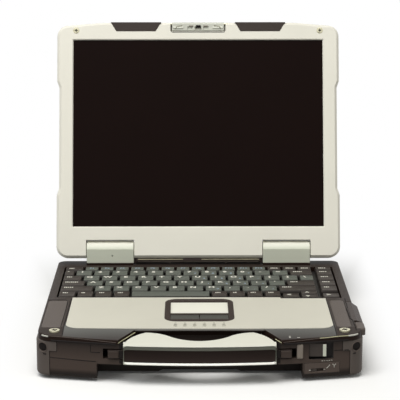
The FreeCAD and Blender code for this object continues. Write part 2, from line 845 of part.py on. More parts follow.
battery_half = battery_door_width / 2 - battery_side
battery_length = bay_end - arm_x - arm_collar_radius - battery_arm_gap
battery, battery_hole, battery_rails = cartridge(
    "battery_block", 1, battery_door_y, battery_half, battery_length, battery_height)
drive_y = drive_door_y - drive_shift
drive, drive_hole, drive_rails = cartridge(
    "drive_block", -1, drive_y, drive_width / 2, drive_length, drive_height)
card_half = card_door_width / 2 - card_side
card, card_hole, card_rails = cartridge("card_block", 1, card_door_y, card_half, card_length, card_height)

# Sockets behind the rear door
port_mouth = rear_face - door_thickness - seam_gap
ports = []
port_holes = []
for port, (middle, wide, tall) in PORTS.items():
    x = (middle - wide / 2, middle + wide / 2)
    z = (port_low, port_low + tall)
    y = (port_mouth - port_length, port_mouth)
    body = box(f"{port}_body", x, y, z)
    inside = box(f"{port}_inside", (x[0] + port_rim, x[1] - port_rim),
                 (port_mouth - port_depth, port_mouth + PAST), (z[0] + port_rim, z[1] - port_rim))
    ports.append(cut(f"{port}_socket", body, inside))
    port_holes.append(box(f"{port}_hole", x, (cavity_rear - PAST, port_mouth + PAST), z))

# Bottom case
case_tools = [battery_pocket, drive_pocket, card_pocket, port_pocket, battery_hole, drive_hole, card_hole]
case_tools += port_holes
case_above = split_height + PAST
case_tools.append(box("cavity", both(cavity_half), (cavity_front, cavity_rear), (floor_top, case_above)))
case_tools.append(box("handle_recess", both(recess_half), (-WIDE, -recess_back), (foot_height, case_above)))
case_tools.append(box("undercut", both(undercut_half), (-WIDE, -recess_back), (0, undercut_top)))
toe_outer = toe_half + toe_slant
toe_top = foot_height + toe_height
case_tools.append(prism("toe_notch", "XZ_Plane", recess_back - case_edge - PAST, WIDE, [
    (-toe_outer, 0), (toe_outer, 0), (toe_outer, foot_height), (toe_half, toe_top),
    (-toe_half, toe_top), (-toe_outer, foot_height)]).body)
switch_right = switch_left + switch_width
switch_z = (switch_top - switch_height, switch_top)
case_tools.append(box("switch_recess", (switch_left, switch_right), (-WIDE, -switch_floor), switch_z))
radio_x = (radio_plate_left, radio_plate_left + radio_plate_width)
radio_z = (radio_plate_low, switch_z[0] - radio_plate_drop)
case_tools.append(box("radio_recess", (radio_x[0] - seam_gap, radio_x[1] + seam_gap),
                      (-WIDE, -radio_plate_back), (radio_z[0] - seam_gap, radio_z[1] + seam_gap)))
guard_x = half_base - guard_width
guard_y = guard_depth - base_front
guard_far = half_case + WIDE
ear_outer = handle_half + ear_width
ear_z = (ear_centre_height - ear_height / 2, ear_centre_height + ear_height / 2)
tab_x = guard_x - guard_tab_width
tab_y = guard_tab_depth - base_front
tab_z = split_height - guard_tab_tall
hole_lean = math.radians(guard_hole_angle.number)
guards = {}
for side_name, side in SIDES:
    case_tools.append(box(f"{side_name}_guard_cut", span(side, guard_x - seam_gap, WIDE), (-WIDE, guard_y),
                          (0, case_above)))
    case_tools.append(box(f"{side_name}_tab_cut", span(side, tab_x - seam_gap, WIDE),
                          (-WIDE, tab_y + seam_gap), (tab_z - seam_gap, case_above)))
    case_tools.append(box(f"{side_name}_ear_slot", span(side, recess_half - PAST, ear_outer + ear_side_gap),
                          (-WIDE, -recess_back), (ear_z[0] - ear_gap, ear_z[1] + ear_gap)))
    case_tools.append(rod(f"{side_name}_arm_bore", "Y", arm_radius + running_gap,
                          recess_back + cavity_front + 2 * PAST,
                          (side * arm_x, -recess_back - PAST, ear_centre_height)))
    block = prism(f"{side_name}_guard_block", "XY_Plane", 0, WIDE, [
        (side * guard_x, -WIDE), (side * guard_far, -WIDE), (side * guard_far, guard_y - WIDE),
        (side * half_case, guard_y), (side * guard_x, guard_y)])
    tab = box(f"{side_name}_guard_tab", span(side, tab_x, half_case), (-WIDE, tab_y), (tab_z, WIDE))
    corner = common(f"{side_name}_guard_corner", guard_blank.body,
                    fuse(f"{side_name}_guard_space", block.body, tab))
    hole = doc.addObject("Part::Cylinder", f"{side_name}_guard_hole")
    bind(hole, Radius=guard_hole_radius, Height=2 * guard_hole_depth)
    inward = Vector(-side * math.sin(hole_lean), math.cos(hole_lean), 0)
    hole.Placement = Placement(Vector(), Rotation(Vector(0, 0, 1), inward))
    put(hole, side * (half_base - guard_hole_inset) - inward.x * guard_hole_depth,
        -base_front - guard_hole_reach - inward.y * guard_hole_depth, guard_hole_height)
    guards[side_name] = cut(f"{side_name}_guard", corner, hole)

# The battery latch slides along the deck's edge, in front of the battery door
grip_x = (half_base - battery_latch_inset, half_case + battery_latch_proud)
battery_latch_rear = battery_door_y - battery_door_width / 2 - battery_latch_gap
grip_y = (battery_latch_rear - battery_latch_length, battery_latch_rear)
grip_z = (split_height + sliding_gap, deck_height - battery_latch_drop)
tongue_x = (grip_x[0] - battery_latch_tongue, grip_x[0])
tongue_y = (grip_y[0] + tongue_end, grip_y[1] - tongue_end)
tongue_z = (grip_z[0] + tongue_edge, grip_z[1] - tongue_edge)
latch_bay = box("latch_bay", (grip_x[0] - sliding_gap, WIDE),
                (grip_y[0] - sliding_gap, grip_y[1] + battery_latch_travel + sliding_gap),
                (split_height - PAST, WIDE))
latch_groove = box("latch_groove", (tongue_x[0] - sliding_gap, WIDE),
                   (tongue_y[0] - sliding_gap, tongue_y[1] + battery_latch_travel + sliding_gap),
                   (tongue_z[0] - running_gap, tongue_z[1] + running_gap))

# Shares of the case's half width and of its reach to the rear
SCREW_PLACES = [(-0.6, -0.4), (0.6, -0.6), (-0.6, 0.86), (0.6, 0.86), (0, -0.55), (0, 0.86)]
bottom_screws = []
for i, (across, along) in enumerate(SCREW_PLACES, 1):
    place = (across * half_case, along * base_rear, foot_height)
    head = rod(f"bottom_screw_head_{i}", "Z", bottom_screw_radius, bottom_screw_head, place)
    shank = rod(f"bottom_screw_shank_{i}", "Z", screw_shank, case_floor, place)
    bottom_screws.append(fuse(f"bottom_screw_{i}", head, shank))
case_tools += bottom_screws

foot_places = []
for x in both(half_case - foot_inset):
    for y in (foot_inset - base_front, base_rear - foot_inset):
        foot_places.append((x, y, 0))
foot_tall = foot_height + foot_sink
feet = []
for i, place in enumerate(foot_places, 1):
    feet.append(rod(f"foot_{i}", "Z", foot_radius, foot_tall, place))
    case_tools.append(rod(f"foot_recess_{i}", "Z", foot_radius + seam_gap, foot_tall, place))

post_x = board_half - post_inset
post_y = (board_front + post_front, board_rear - post_rear)
post_places = [(-post_x, post_y[0]), (0, post_y[0]), (post_x, post_y[0])]
post_places += [(-post_x, post_y[1]), (post_x / 2, post_y[1]), (post_x, post_y[1])]
posts = []
for i, (x, y) in enumerate(post_places, 1):
    posts.append(rod(f"post_{i}", "Z", post_radius, board_bottom - floor_top, (x, y, floor_top)))
hollow_case = cut("hollow_case", case_blank.body, *case_tools)
node("bottom_case", fuse("bottom_case", hollow_case, *posts, *battery_rails, *drive_rails, *card_rails))
node("corner_guard_left", guards["left"])
node("corner_guard_right", guards["right"])
node("bottom_screws", group("bottom_screws", *bottom_screws))
node("battery_door", battery_door)
node("drive_door", drive_door)
node("card_door", card_door)
node("port_door", port_door)
node("rear_connectors", group("rear_connectors", *ports))
grip = Piece("latch_grip")
grip.pad(rectangle(grip.sketch("XY_Plane", grip_z[0]), grip_x, grip_y), grip_z[1] - grip_z[0])
grip.fillet(battery_latch_round, lambda edge: upright(edge) and edge.BoundBox.XMin > half_base.number)
grip.fillet(battery_latch_edge, level_at(grip_z[1].number))
tongue = box("latch_tongue", tongue_x, tongue_y, tongue_z)
node("battery_latch", fuse("battery_latch", grip.body, tongue))

node("feet", group("feet", *feet))

# Inside the base
node("battery_pack", battery)
connector_low = rail_top + drive_height / 3
drive_end = drive_length - bay_end
drive_plug = box("drive_plug", (drive_end - plug_depth, drive_end + PAST),
                 (drive_y - plug_half, drive_y + plug_half),
                 (connector_low, connector_low + plug_tall))
node("hard_drive", cut("hard_drive", drive, drive_plug))
slot_half = card_half - card_wall
slot_low = rail_top + card_wall
card_slot = box("card_slot", (bay_end - card_length + card_slot_end, WIDE),
                (card_door_y - slot_half, card_door_y + slot_half), (slot_low, slot_low + card_slot_tall))
node("card_cage", cut("card_cage", card, card_slot))
node("mainboard", box("mainboard", both(board_half), (board_front, board_rear), (board_bottom, board_top)))
spreader_rear = board_rear - spreader_setback
spreader_front = spreader_rear - spreader_depth
spreader_block = box("spreader_block", both(spreader_half), (spreader_front, spreader_rear),
                     (board_top, board_top + spreader_height))
slots = []
for i in range(-2, 3):
    slots.append(box(f"fin_slot_{i + 3}", (fin_pitch * i - fin_slot / 2, fin_pitch * i + fin_slot / 2),
                     (spreader_front - PAST, spreader_rear + PAST), (board_top + fin_base, WIDE)))
node("heat_spreader", cut("heat_spreader", spreader_block, *slots))
module_y = spreader_front + module_step
module_left = -spreader_half - module_gap - module_width
node("memory_module", box("memory_module", (module_left, module_left + module_width),
                          (module_y, module_y + module_depth), (board_top, board_top + spreader_height)))
wireless_x = spreader_half + module_step
node("wireless_card", box("wireless_card", (wireless_x, wireless_x + module_depth),
                          (module_y, module_y + module_depth), (board_top, board_top + spreader_height)))
speaker_x = cavity_half - speaker_radius - speaker_side
speaker_y = cavity_front + speaker_radius + speaker_front
speaker_cup = rod("speaker_cup", "Z", speaker_radius, speaker_height, (-speaker_x, speaker_y, floor_top))
speaker_cone = doc.addObject("Part::Cone", "speaker_cone")
bind(speaker_cone, Radius1=speaker_radius / 3, Radius2=speaker_radius - speaker_rim)
bind(speaker_cone, Height=speaker_height / 3)
put(speaker_cone, -speaker_x, speaker_y, floor_top + speaker_height * 2 / 3)
node("speaker", cut("speaker", speaker_cup, speaker_cone))

# Top deck, palm rest and wrist pads
dip_from = key_margin - well_half + 12 * key_unit


def palm_block(name, low, high):
    """The palm rest's outline, with a bowed front and a step behind for the arrow keys."""
    bow = (palm_half * palm_half + palm_bow * palm_bow) / (2 * palm_bow)
    step = dip_from - palm_step_gap
    front = palm_bow - palm_front
    dipped = -palm_rear - well_dip
    piece = prism(name, "XY_Plane", low, high - low, [
        (-palm_half, front), (palm_half, front), (palm_half, dipped), (step, dipped), (step, -palm_rear),
        (-palm_half, -palm_rear)], {0: -bow})
    middle = ((front + dipped) / 2).number
    return piece.fillet(palm_corner, lambda edge: upright(edge) and edge.BoundBox.YMin < middle)


def tray_block(name, low, high):
    """The touchpad bezel's outline."""
    piece = Piece(name)
    return piece.pad(rounded(piece.sketch("XY_Plane", low), both(bezel_half), (-bezel_front, -bezel_rear),
                             bezel_corner), high - low)


def pad_block(name, side, low, high):
    """A wrist pad's outline, beside the palm rest."""
    piece = Piece(name)
    outer = half_base if side < 0 else half_case - door_thickness
    across = span(side, palm_half + pad_gap, outer - pad_edge)
    sketch = piece.sketch("XY_Plane", low)
    return piece.pad(rounded(sketch, across, (-pad_front, -pad_rear), pad_corner), high - low)


palm_floor = deck_height - palm_thickness
pad_floor = deck_height - pad_thickness
well_points = [(-well_half, -well_front), (dip_from, -well_front), (dip_from, -well_front - well_dip),
               (well_half, -well_front - well_dip), (well_half, well_rear), (-well_half, well_rear)]
notch_outer = notch_half + notch_slant
notch_mouth = base_front + front_bow * 0.8
notch = prism("notch", "XY_Plane", 0, WIDE, [
    (-notch_outer, -WIDE), (notch_outer, -WIDE), (notch_outer, -notch_mouth), (notch_half, -notch_edge),
    (-notch_half, -notch_edge), (-notch_outer, -notch_mouth)])
deck_tools = [notch.body, prism("well", "XY_Plane", ledge_height, WIDE, well_points).body]
deck_tools.append(box("well_through", both(well_half - ledge_width),
                      (ledge_width - well_front, well_rear - ledge_width), (0, WIDE)))
deck_tools.append(palm_block("palm_recess", palm_floor, above).body)
deck_tools.append(tray_block("tray_recess", tray_bottom, above).body)
step_front = axis_y - barrel_radius - rear_step_margin
deck_tools.append(box("rear_step", both(WIDE), (step_front, WIDE), (rear_step, WIDE)))
deck_tools += [battery_pocket, latch_bay, latch_groove]
plinths = []
deck_screws = []
screw_floor = deck_height - deck_screw_sink
for side_name, side in SIDES:
    deck_tools.append(pad_block(f"{side_name}_pad_recess", side, pad_floor, above).body)
    place = (side * (half_base - deck_screw_inset), -deck_screw_y, screw_floor)
    deck_tools.append(rod(f"{side_name}_screw_recess", "Z", deck_screw_radius + seam_gap, WIDE, place))
    head = rod(f"{side_name}_screw_head", "Z", deck_screw_radius, deck_screw_head, place)
    slot_z = screw_floor + deck_screw_head / 2
    slots = []
    for way, reach_x, reach_y in (
            ("across", screw_slot_reach, screw_slot_half), ("along", screw_slot_half, screw_slot_reach)):
        slots.append(box(f"{side_name}_slot_{way}", (place[0] - reach_x, place[0] + reach_x),
                         (place[1] - reach_y, place[1] + reach_y), (slot_z, WIDE)))
    shank = rod(f"{side_name}_screw_shank", "Z", screw_shank, deck_thickness - deck_screw_sink,
                (place[0], place[1], split_height))
    deck_tools.append(shank)
    crossed = cut(f"{side_name}_cross_head", head, *slots)
    deck_screws.append(fuse(f"{side_name}_deck_screw", crossed, shank))
    plinths.append(box(f"{side_name}_plinth", span(side, hinge_inner, hinge_outer),
                       (axis_y - barrel_radius, base_rear), (split_height, plinth_top)))
node("top_deck", fuse("top_deck", cut("deck_shell", deck_blank.body, *deck_tools), *plinths))
node("deck_screws", group("deck_screws", *deck_screws))
palm_top = deck_height + palm_proud
status_lights = []
for i in range(6):
    middle = (i - 2.5) * status_pitch
    across = (middle - status_width / 2, middle + status_width / 2)
    along = (-status_y - status_tall / 2, status_tall / 2 - status_y)
    status_lights.append(box(f"status_light_{i + 1}", across, along, (palm_floor, palm_top)))
palm_blank = palm_block("palm_blank", palm_floor, palm_top)
tray_hole = tray_block("tray_hole", tray_bottom, above)
node("palm_rest", cut("palm_rest", palm_blank.body, tray_hole.body, *status_lights))
node("status_lights", group("status_lights", *status_lights))
for side_name, side in SIDES:
    pad = pad_block(f"{side_name}_pad", side, pad_floor, deck_height)
    pad.chamfer(pad_thickness / 3, level_at(deck_height.number))
    node(f"wrist_pad_{side_name}", pad.body)

# Touchpad
bezel = tray_block("touchpad_frame", tray_bottom, deck_height + bezel_proud)
bezel.fillet(bezel_proud * 0.75, level_at((deck_height + bezel_proud).number))
bezel_top = deck_height + bezel_proud
bezel_well = bezel_top - tray_top
for along in ((-touch_front, -touch_rear), (-button_front, -button_rear)):
    bezel.pocket(rectangle(bezel.sketch("XY_Plane", bezel_top), both(touch_half), along), bezel_well)
node("touchpad_bezel", bezel.body)
node("touchpad_plate", box("touchpad_plate", both(touch_half), (-touch_front, -touch_rear),
                           (tray_top, tray_top + touch_thickness)))
button_bottom = tray_top + button_travel + key_clear
domes = []
for side_name, side in SIDES:
    button = box(f"{side_name}_button", span(side, button_split / 2, touch_half - sliding_gap),
                 (sliding_gap - button_front, -button_rear - sliding_gap),
                 (button_bottom, button_bottom + button_thickness))
    node(f"touchpad_button_{side_name}", button)
    dome = rod(f"{side_name}_button_dome", "Z", dome_tip, button_bottom - tray_top,
               (side * touch_half / 2, -(button_rear + button_front) / 2, tray_top))
    domes.append(dome)

# Keyboard
plate_half = well_half - seam_gap
plate_front, plate_rear = seam_gap - well_front, well_rear - seam_gap
plate_step = dip_from + seam_gap
plate_points = [(-plate_half, plate_front), (plate_step, plate_front), (plate_step, plate_front - well_dip),
                (plate_half, plate_front - well_dip), (plate_half, plate_rear), (-plate_half, plate_rear)]
key_plate_top = ledge_height + key_plate_thickness
for label, low, thickness in (("key_plate", ledge_height, key_plate_thickness),
                              ("key_membrane", key_plate_top, membrane_thickness)):
    node(label, prism(label, "XY_Plane", low, thickness, plate_points).body)

key_top = key_bottom + key_height
key_ceiling = key_top - key_wall
left_edge = key_margin - well_half
front_edge = key_margin - well_front


def key(name, x, y, small=False):
    """A tapered key cap, the hollow under it, and the rubber dome that carries it."""
    half = key_gap / 2
    (x0, x1), (y0, y1) = (x[0] + half, x[1] - half), (y[0] + half, y[1] - half)
    cap = doc.addObject("Part::Wedge", name)
    cap.Placement = Placement(Vector(), Rotation(Vector(1, 0, 0), 90))
    bind(cap, Ymin=key_bottom, Ymax=key_top, Xmin=x0, Xmax=x1, Zmin=-y1, Zmax=-y0)
    bind(cap, X2min=x0 + key_taper, X2max=x1 - key_taper, Z2min=key_taper * 0.6 - y1, Z2max=-y0 - key_taper)
    rim = key_taper + key_wall
    hollow = box(f"{name}_hollow", (x0 + rim, x1 - rim), (y0 + rim, y1 - rim),
                 (key_bottom - PAST, key_ceiling))
    share = 0.4 if small else 1
    dome = doc.addObject("Part::Cone", f"{name}_dome")
    bind(dome, Radius1=dome_radius * share, Radius2=dome_tip * share, Height=key_ceiling - membrane_top)
    put(dome, (x0 + x1) / 2, (y0 + y1) / 2, membrane_top)
    domes.append(dome)
    return cap, hollow


def key_node(label, keys):
    """Joins a set of keys into one sub-part."""
    caps = group(f"{label}_caps", *[cap for cap, hollow in keys])
    hollows = group(f"{label}_hollows", *[hollow for cap, hollow in keys])
    node(label, cut(label, caps, hollows))


def row_limits(row):
    low = front_edge + row * row_pitch
    return (low, low + (function_depth if row == 5 else row_pitch))


def row_of_keys(label, row, units, start=0):
    """Keys of the given widths, side by side."""
    keys = []
    for i, unit in enumerate(units):
        x = (left_edge + start * key_unit, left_edge + (start + unit) * key_unit)
        keys.append(key(f"{label}_{i + 1}", x, row_limits(row)))
        start = start + unit
    return keys


key_node("function_keys", row_of_keys("function", 5, [1.1] + [0.86] * 15))
key_node("number_keys", row_of_keys("number", 4, [0.65] + [1] * 12 + [1.35]))
key_node("upper_keys", row_of_keys("upper", 3, [1.13] + [1] * 12 + [0.87]))
key_node("home_keys", row_of_keys("home", 2, [1.37] + [1] * 11 + [1.63]))
key_node("lower_keys", row_of_keys("lower", 1, [1.87] + [1] * 10 + [2.13]))
left_keys = row_of_keys("bottom_left", 0, [1, 0.95, 1, 0.95])
right_keys = row_of_keys("bottom_right", 0, [0.95, 0.95, 0.95, 0.95], 8.2)
key_node("bottom_keys", left_keys + right_keys)
key_node("space_bar", row_of_keys("space", 0, [4.3], 3.9))
column_left = left_edge + 14 * key_unit + column_gap
column = (column_left, column_left + key_unit)
key_node("side_keys", [key(f"side_{row}", column, row_limits(row)) for row in range(1, 6)])
dipped = (front_edge - well_dip, front_edge - well_dip + row_pitch * 0.8)
middle_line = front_edge + (row_pitch - well_dip) / 2
up_down = (left_edge + 13 * key_unit, left_edge + 14 * key_unit)
key_node("arrow_keys", [
    key("arrow_left", (left_edge + 12 * key_unit, left_edge + 13 * key_unit), dipped),
    key("arrow_down", up_down, (front_edge - well_dip, middle_line), small=True),
    key("arrow_up", up_down, (middle_line, front_edge + row_pitch), small=True),
    key("arrow_right", column, dipped)])
node("rubber_domes", group("rubber_domes", *domes))

# Carrying handle
handle_curve = (handle_half * handle_half + handle_bow * handle_bow) / (2 * handle_bow)
wave_end = notch_edge + handle_end_gap
wave_mid = notch_edge + handle_mid_gap
dip_curve = (handle_mid_x * handle_mid_x + handle_dip * handle_dip) / (2 * handle_dip)
handle = Piece("handle_blank")
bow_ends = [(-handle_half, handle_bow - handle_front), (handle_half, handle_bow - handle_front)]
block_rear = handle_block - handle_front
handle.pad(outline(handle.sketch("XY_Plane", handle_bottom), bow_ends + [
    (handle_half, block_rear), (-handle_half, block_rear)], {0: -handle_curve}), handle_tall)
flange_low = handle_top - handle_drop - handle_skin
handle.pad(outline(handle.sketch("XY_Plane", flange_low), bow_ends + [
    (handle_half, -wave_end), (handle_peak_x, -handle_peak), (handle_mid_x, -wave_mid),
    (-handle_mid_x, -wave_mid), (-handle_peak_x, -handle_peak), (-handle_half, -wave_end)],
    {0: -handle_curve, 2: -handle_wave, 3: -handle_wave, 4: dip_curve, 5: -handle_wave, 6: -handle_wave}),
    handle_top - flange_low)
handle_run = handle_front - handle_peak
fall = handle_drop / handle_run
handle.pocket(outline(handle.sketch("YZ_Plane"), [
    (-handle_peak, handle_top), (-handle_peak, above), (-handle_front - PAST, above),
    (-handle_front - PAST, handle_top - handle_drop - fall * PAST)]), WIDE, middle=True)
flange_under = handle_top - handle_skin
flange_start = flange_under - fall * (-block_rear - handle_peak)
flange_clear = flange_low - PAST
handle.pocket(outline(handle.sketch("YZ_Plane"), [
    (block_rear, flange_clear), (-recess_back, flange_clear), (-recess_back, flange_under),
    (-handle_peak, flange_under), (block_rear, flange_start)]), WIDE, middle=True)
groove_z = handle_top - groove_drop


def ring(name, radius):
    """A round bar bent along the handle's bowed front."""
    item = doc.addObject("Part::Torus", name)
    bind(item, Radius1=handle_curve + groove_offset, Radius2=radius)
    return put(item, 0, handle_curve - handle_front, groove_z)


groove = common("groove", ring("groove_ring", groove_radius), box(
    "groove_limits", both(handle_half - groove_end), (-WIDE, -handle_peak), (0, WIDE)))
node("carry_handle", cut("carry_handle", handle.body, groove))
grip_fill = common("grip_fill", handle.body, groove)
node("handle_grip", cut("handle_grip", grip_fill, ring("grip_ring", groove_radius - grip_skin)))
slides = []
collar_front = cavity_front + handle_travel + sliding_gap
arm_end = collar_front + arm_collar_length
for side_name, side in SIDES:
    ear_y = (ear_front - handle_front, -ear_back)
    ear = box(f"{side_name}_ear", span(side, handle_half, ear_outer), ear_y, ear_z)
    arm = rod(f"{side_name}_arm", "Y", arm_radius, ear_back + arm_end,
              (side * arm_x, -ear_back, ear_centre_height))
    collar = rod(f"{side_name}_collar", "Y", arm_collar_radius, arm_collar_length,
                 (side * arm_x, collar_front, ear_centre_height))
    slides.append(fuse(f"{side_name}_slide", ear, arm, collar))
node("handle_slides", group("handle_slides", *slides))

# Front switches
slider_x = (switch_left + sliding_gap, switch_left + sliding_gap + switch_slider)
slider_z = (switch_z[0] + switch_under, switch_z[1] - sliding_gap)
slider_front = -switch_floor - switch_depth
slider = box("switch_plate", slider_x, (slider_front, -switch_floor), slider_z)
rib = box("switch_ridge", (slider_x[1] - switch_rib, slider_x[1]),
          (slider_front - switch_rib_proud, -switch_floor), slider_z)
node("power_switch", fuse("power_switch", slider, rib))
radio_block = box("radio_block", radio_x, (-WIDE, -radio_plate_back), radio_z)
radio_corner = common("radio_corner", case_blank.body, radio_block)
radio_slot_x = (radio_slot_left, radio_slot_left + radio_slot_width)
radio_slot_low = radio_plate_low + radio_slot_rise
radio_slot_z = (radio_slot_low, radio_slot_low + radio_slot_tall)
radio_slot = box("radio_slot", radio_slot_x, (-WIDE, -radio_slot_floor), radio_slot_z)
node("radio_plate", cut("radio_plate", radio_corner, radio_slot))
node("radio_switch", box(
    "radio_switch", (radio_slot_left + sliding_gap, radio_slot_left + sliding_gap + radio_slider),
    (-radio_slot_floor - radio_slider_depth, -radio_slot_floor),
    (radio_slot_z[0] + sliding_gap, radio_slot_z[1] - sliding_gap)))

# Hinge covers

def end_edge(edge):
    """Picks the edges of a hinge cover's ends, but not those on its plinth."""
    bounds = edge.BoundBox
    return bounds.XLength < 1e-6 and bounds.ZMax > (plinth_top + hinge_edge / 2).number


for side_name, side in SIDES:
    cover = Piece(f"{side_name}_cover")
    front, rear = axis_y - barrel_radius + hinge_flat_set, axis_y + barrel_radius
    start = hinge_inner if side > 0 else -hinge_outer
    cover.pad(outline(cover.sketch("YZ_Plane", start), [
        (front, plinth_top), (rear, plinth_top), (rear, axis_z),
        (axis_y, axis_z + barrel_radius), (front, axis_z + hinge_flat_rise)],
        {2: -barrel_radius, 3: -barrel_radius}), hinge_width)
    cover.fillet(hinge_edge, end_edge)
    bore_radius = pin_radius + running_gap
    tools = [rod(f"{side_name}_pin_bore", "X", bore_radius, WIDE, (start - PAST, axis_y, axis_z))]
    if side < 0:
        tools.append(rod("mic_hole", "Y", mic_radius, mic_depth + PAST,
                         (-hinge_inner - mic_from_inner, front - PAST, axis_z - mic_drop)))
    node(f"hinge_cover_{side_name}", cut(f"{side_name}_hinge_cover", cover.body, *tools))
node("latch_catch", box("latch_catch", both(catch_half), (-notch_edge - catch_reach, -notch_edge),
                        (deck_height - catch_drop - catch_tall, deck_height - catch_drop)))

# Lid
turn = Rotation(Vector(1, 0, 0), -open_angle.number)
axis = Vector(0, axis_y.number, axis_z.number)
open_pose = Placement(axis - turn.multVec(axis), turn)
guard_half = lid_half + lid_guard_proud


def lid_block(name, low, high):
    """The lid's outline: wider at its four corners, the outer ones cut off on a slant."""
    lower = lid_rear - lid_guard_lower
    upper = lid_front + lid_guard_upper
    left = [(-guard_half, lid_rear), (-guard_half, lower), (-lid_half, lower - lid_guard_ramp),
            (-lid_half, upper + lid_guard_ramp), (-guard_half, upper),
            (-guard_half, lid_front + lid_shoulder), (-lid_flat_half, lid_front)]
    right = [(-x, y) for x, y in reversed(left)]
    piece = prism(name, "XY_Plane", low, high - low, left + right)
    corners = [lid_rear.number, (lid_front + lid_shoulder).number]

    def at_corner(edge):
        return upright(edge) and min(abs(edge.BoundBox.YMin - y) for y in corners) < 1e-3

    return piece.fillet(lid_corner, at_corner)


cover = lid_block("cover_shell", bezel_back, lid_top)
cover.fillet(lid_edge, level_at(lid_top.number))
back = cover.sketch("XY_Plane", lid_top)
back_x = both(lid_half - back_panel_inset)
back_y = (lid_front + back_panel_inset, lid_rear - back_panel_inset)
cover.pad(rounded(back, back_x, back_y, lid_corner), back_panel_rise)
cover.chamfer(back_panel_rise * 0.8, level_at((lid_top + back_panel_rise).number))
inner = lid_half - lid_wall
inner_rear = lid_rear - lid_wall
near = hinge_inner - notch_gap - lid_wall
far = hinge_outer + notch_gap + lid_wall
notch_wall = notch_front - lid_wall
inner_front = lid_front + lid_band
cover.pocket(outline(cover.sketch("XY_Plane", bezel_back), [
    (-inner, inner_front), (inner, inner_front), (inner, inner_rear), (far, inner_rear), (far, notch_wall),
    (near, notch_wall), (near, inner_rear), (-near, inner_rear), (-near, notch_wall), (-far, notch_wall),
    (-far, inner_rear), (-inner, inner_rear)]), lid_thickness - bezel_thickness - lid_wall, back=True)
bezel_shell = lid_block("bezel_shell", lid_bottom, bezel_back)
bezel_shell.chamfer(bezel_bevel, level_at(lid_bottom.number))
screen_sketch = bezel_shell.sketch("XY_Plane", bezel_back)
screen_y = (screen_front, screen_rear)
bezel_shell.pocket(rectangle(screen_sketch, both(screen_half), screen_y), bezel_thickness)


def screen_rim(edge):
    """Picks the front edges of the screen opening."""
    bounds = edge.BoundBox
    inside = max(-bounds.XMin, bounds.XMax) < screen_half.number + 1e-3
    return level_at(lid_bottom.number)(edge) and inside and bounds.YMin > screen_front.number - 1e-3


bezel_shell.chamfer(screen_bevel, screen_rim)
glass_x = both(screen_half + glass_margin)
glass_y = (screen_front - glass_margin, screen_rear + glass_margin)
glass_z = (bezel_back - glass_thickness, bezel_back)
cover_tools = []
bezel_tools = [box("glass_seat", glass_x, glass_y, glass_z)]
bumpers = []
screws = []
brackets = []
pins = []
panel_y = (screen_front - panel_margin, screen_rear + panel_margin)
ear_radius = pin_radius + bracket_wall
eye_z = (axis_z - ear_radius, axis_z + ear_radius)
bar_rear = panel_y[1] + seam_gap
bumper_length = bumper_depth + bumper_proud
for side_name, side in SIDES:
    notch_x = span(side, hinge_inner - notch_gap, hinge_outer + notch_gap)
    hinge_notch = box(f"{side_name}_hinge_notch", notch_x, (notch_front, WIDE), (0, WIDE))
    low_x, high_x = span(side, near - pin_grip, far + pin_grip)
    passage = rod(f"{side_name}_pin_hole", "X", pin_radius + sliding_gap, high_x - low_x,
                  (low_x, axis_y, axis_z))
    bumper_x = span(side, bumper_inner, bumper_inner + bumper_width)
    bumper_y = (lid_front - bumper_proud, lid_front + bumper_tall)
    bumper = prism(f"{side_name}_bumper", "XY_Plane", lid_bottom - bumper_proud, bumper_length, [
        (bumper_x[0], bumper_y[0]), (bumper_x[1], bumper_y[0]), (bumper_x[1] - bumper_slant, bumper_y[1]),
        (bumper_x[0] + bumper_slant, bumper_y[1])])
    bumpers.append(bumper.body)
    place = (side * bezel_screw_x, lid_front + bezel_screw_drop, lid_bottom)
    shank = rod(f"{side_name}_bezel_shank", "Z", screw_shank, screw_length, place)
    head = doc.addObject("Part::Cone", f"{side_name}_bezel_head")
    bind(head, Radius1=bezel_screw_radius * 0.7, Radius2=bezel_screw_radius, Height=bezel_screw_head)
    put(head, place[0], place[1], lid_bottom - bezel_screw_head)
    screws.append(fuse(f"{side_name}_bezel_screw", head, shank))
    cover_tools += [hinge_notch, passage, bumper.body, shank]
    bezel_tools += [hinge_notch, bumper.body, shank]
    pieces = [box(f"{side_name}_bracket_bar", (low_x, high_x), (bar_rear, notch_wall),
                  (bezel_back, eye_z[1]))]
    eyes = {"inner": span(side, near - pin_grip, near), "outer": span(side, far, far + pin_grip)}
    for end, x in eyes.items():
        pieces.append(box(f"{side_name}_{end}_arm", x, (bar_rear, axis_y), eye_z))
        pieces.append(rod(f"{side_name}_{end}_eye", "X", ear_radius, pin_grip, (x[0], axis_y, axis_z)))
    pin = rod(f"{side_name}_pin", "X", pin_radius, high_x - low_x, (low_x, axis_y, axis_z))
    brackets.append(cut(f"{side_name}_bracket", fuse(f"{side_name}_bracket_blank", *pieces), pin))
    pins.append(pin)
latch_low = lid_bottom + latch_sink
latch_high = latch_low + latch_thickness
latch_recess_half = latch_half + latch_side_gap
latch_recess = box("latch_recess", both(latch_recess_half), (-WIDE, latch_y + latch_reach + latch_end_gap),
                   (0, latch_high + latch_end_gap))
latch_pin_half = latch_recess_half + latch_pin_grip
latch_pin = rod("latch_pin", "X", latch_pin_radius, 2 * latch_pin_half, (-latch_pin_half, latch_y, latch_z))
boss_low = bezel_back + panel_thickness
boss_tall = lid_top - lid_wall + boss_sink - boss_low
bosses = []
for i, (x, y) in enumerate([(x, y) for x in both(boss_x) for y in both(boss_y)], 1):
    bosses.append(rod(f"boss_{i}", "Z", boss_radius, boss_tall, (x, y, boss_low)))
hollow_cover = cut("hollow_cover", cover.body, *cover_tools, latch_recess)
node("lid_cover", fuse("lid_cover", hollow_cover, *bosses), open_pose)
node("lid_bezel", cut("lid_bezel", bezel_shell.body, *bezel_tools, latch_recess, latch_pin), open_pose)
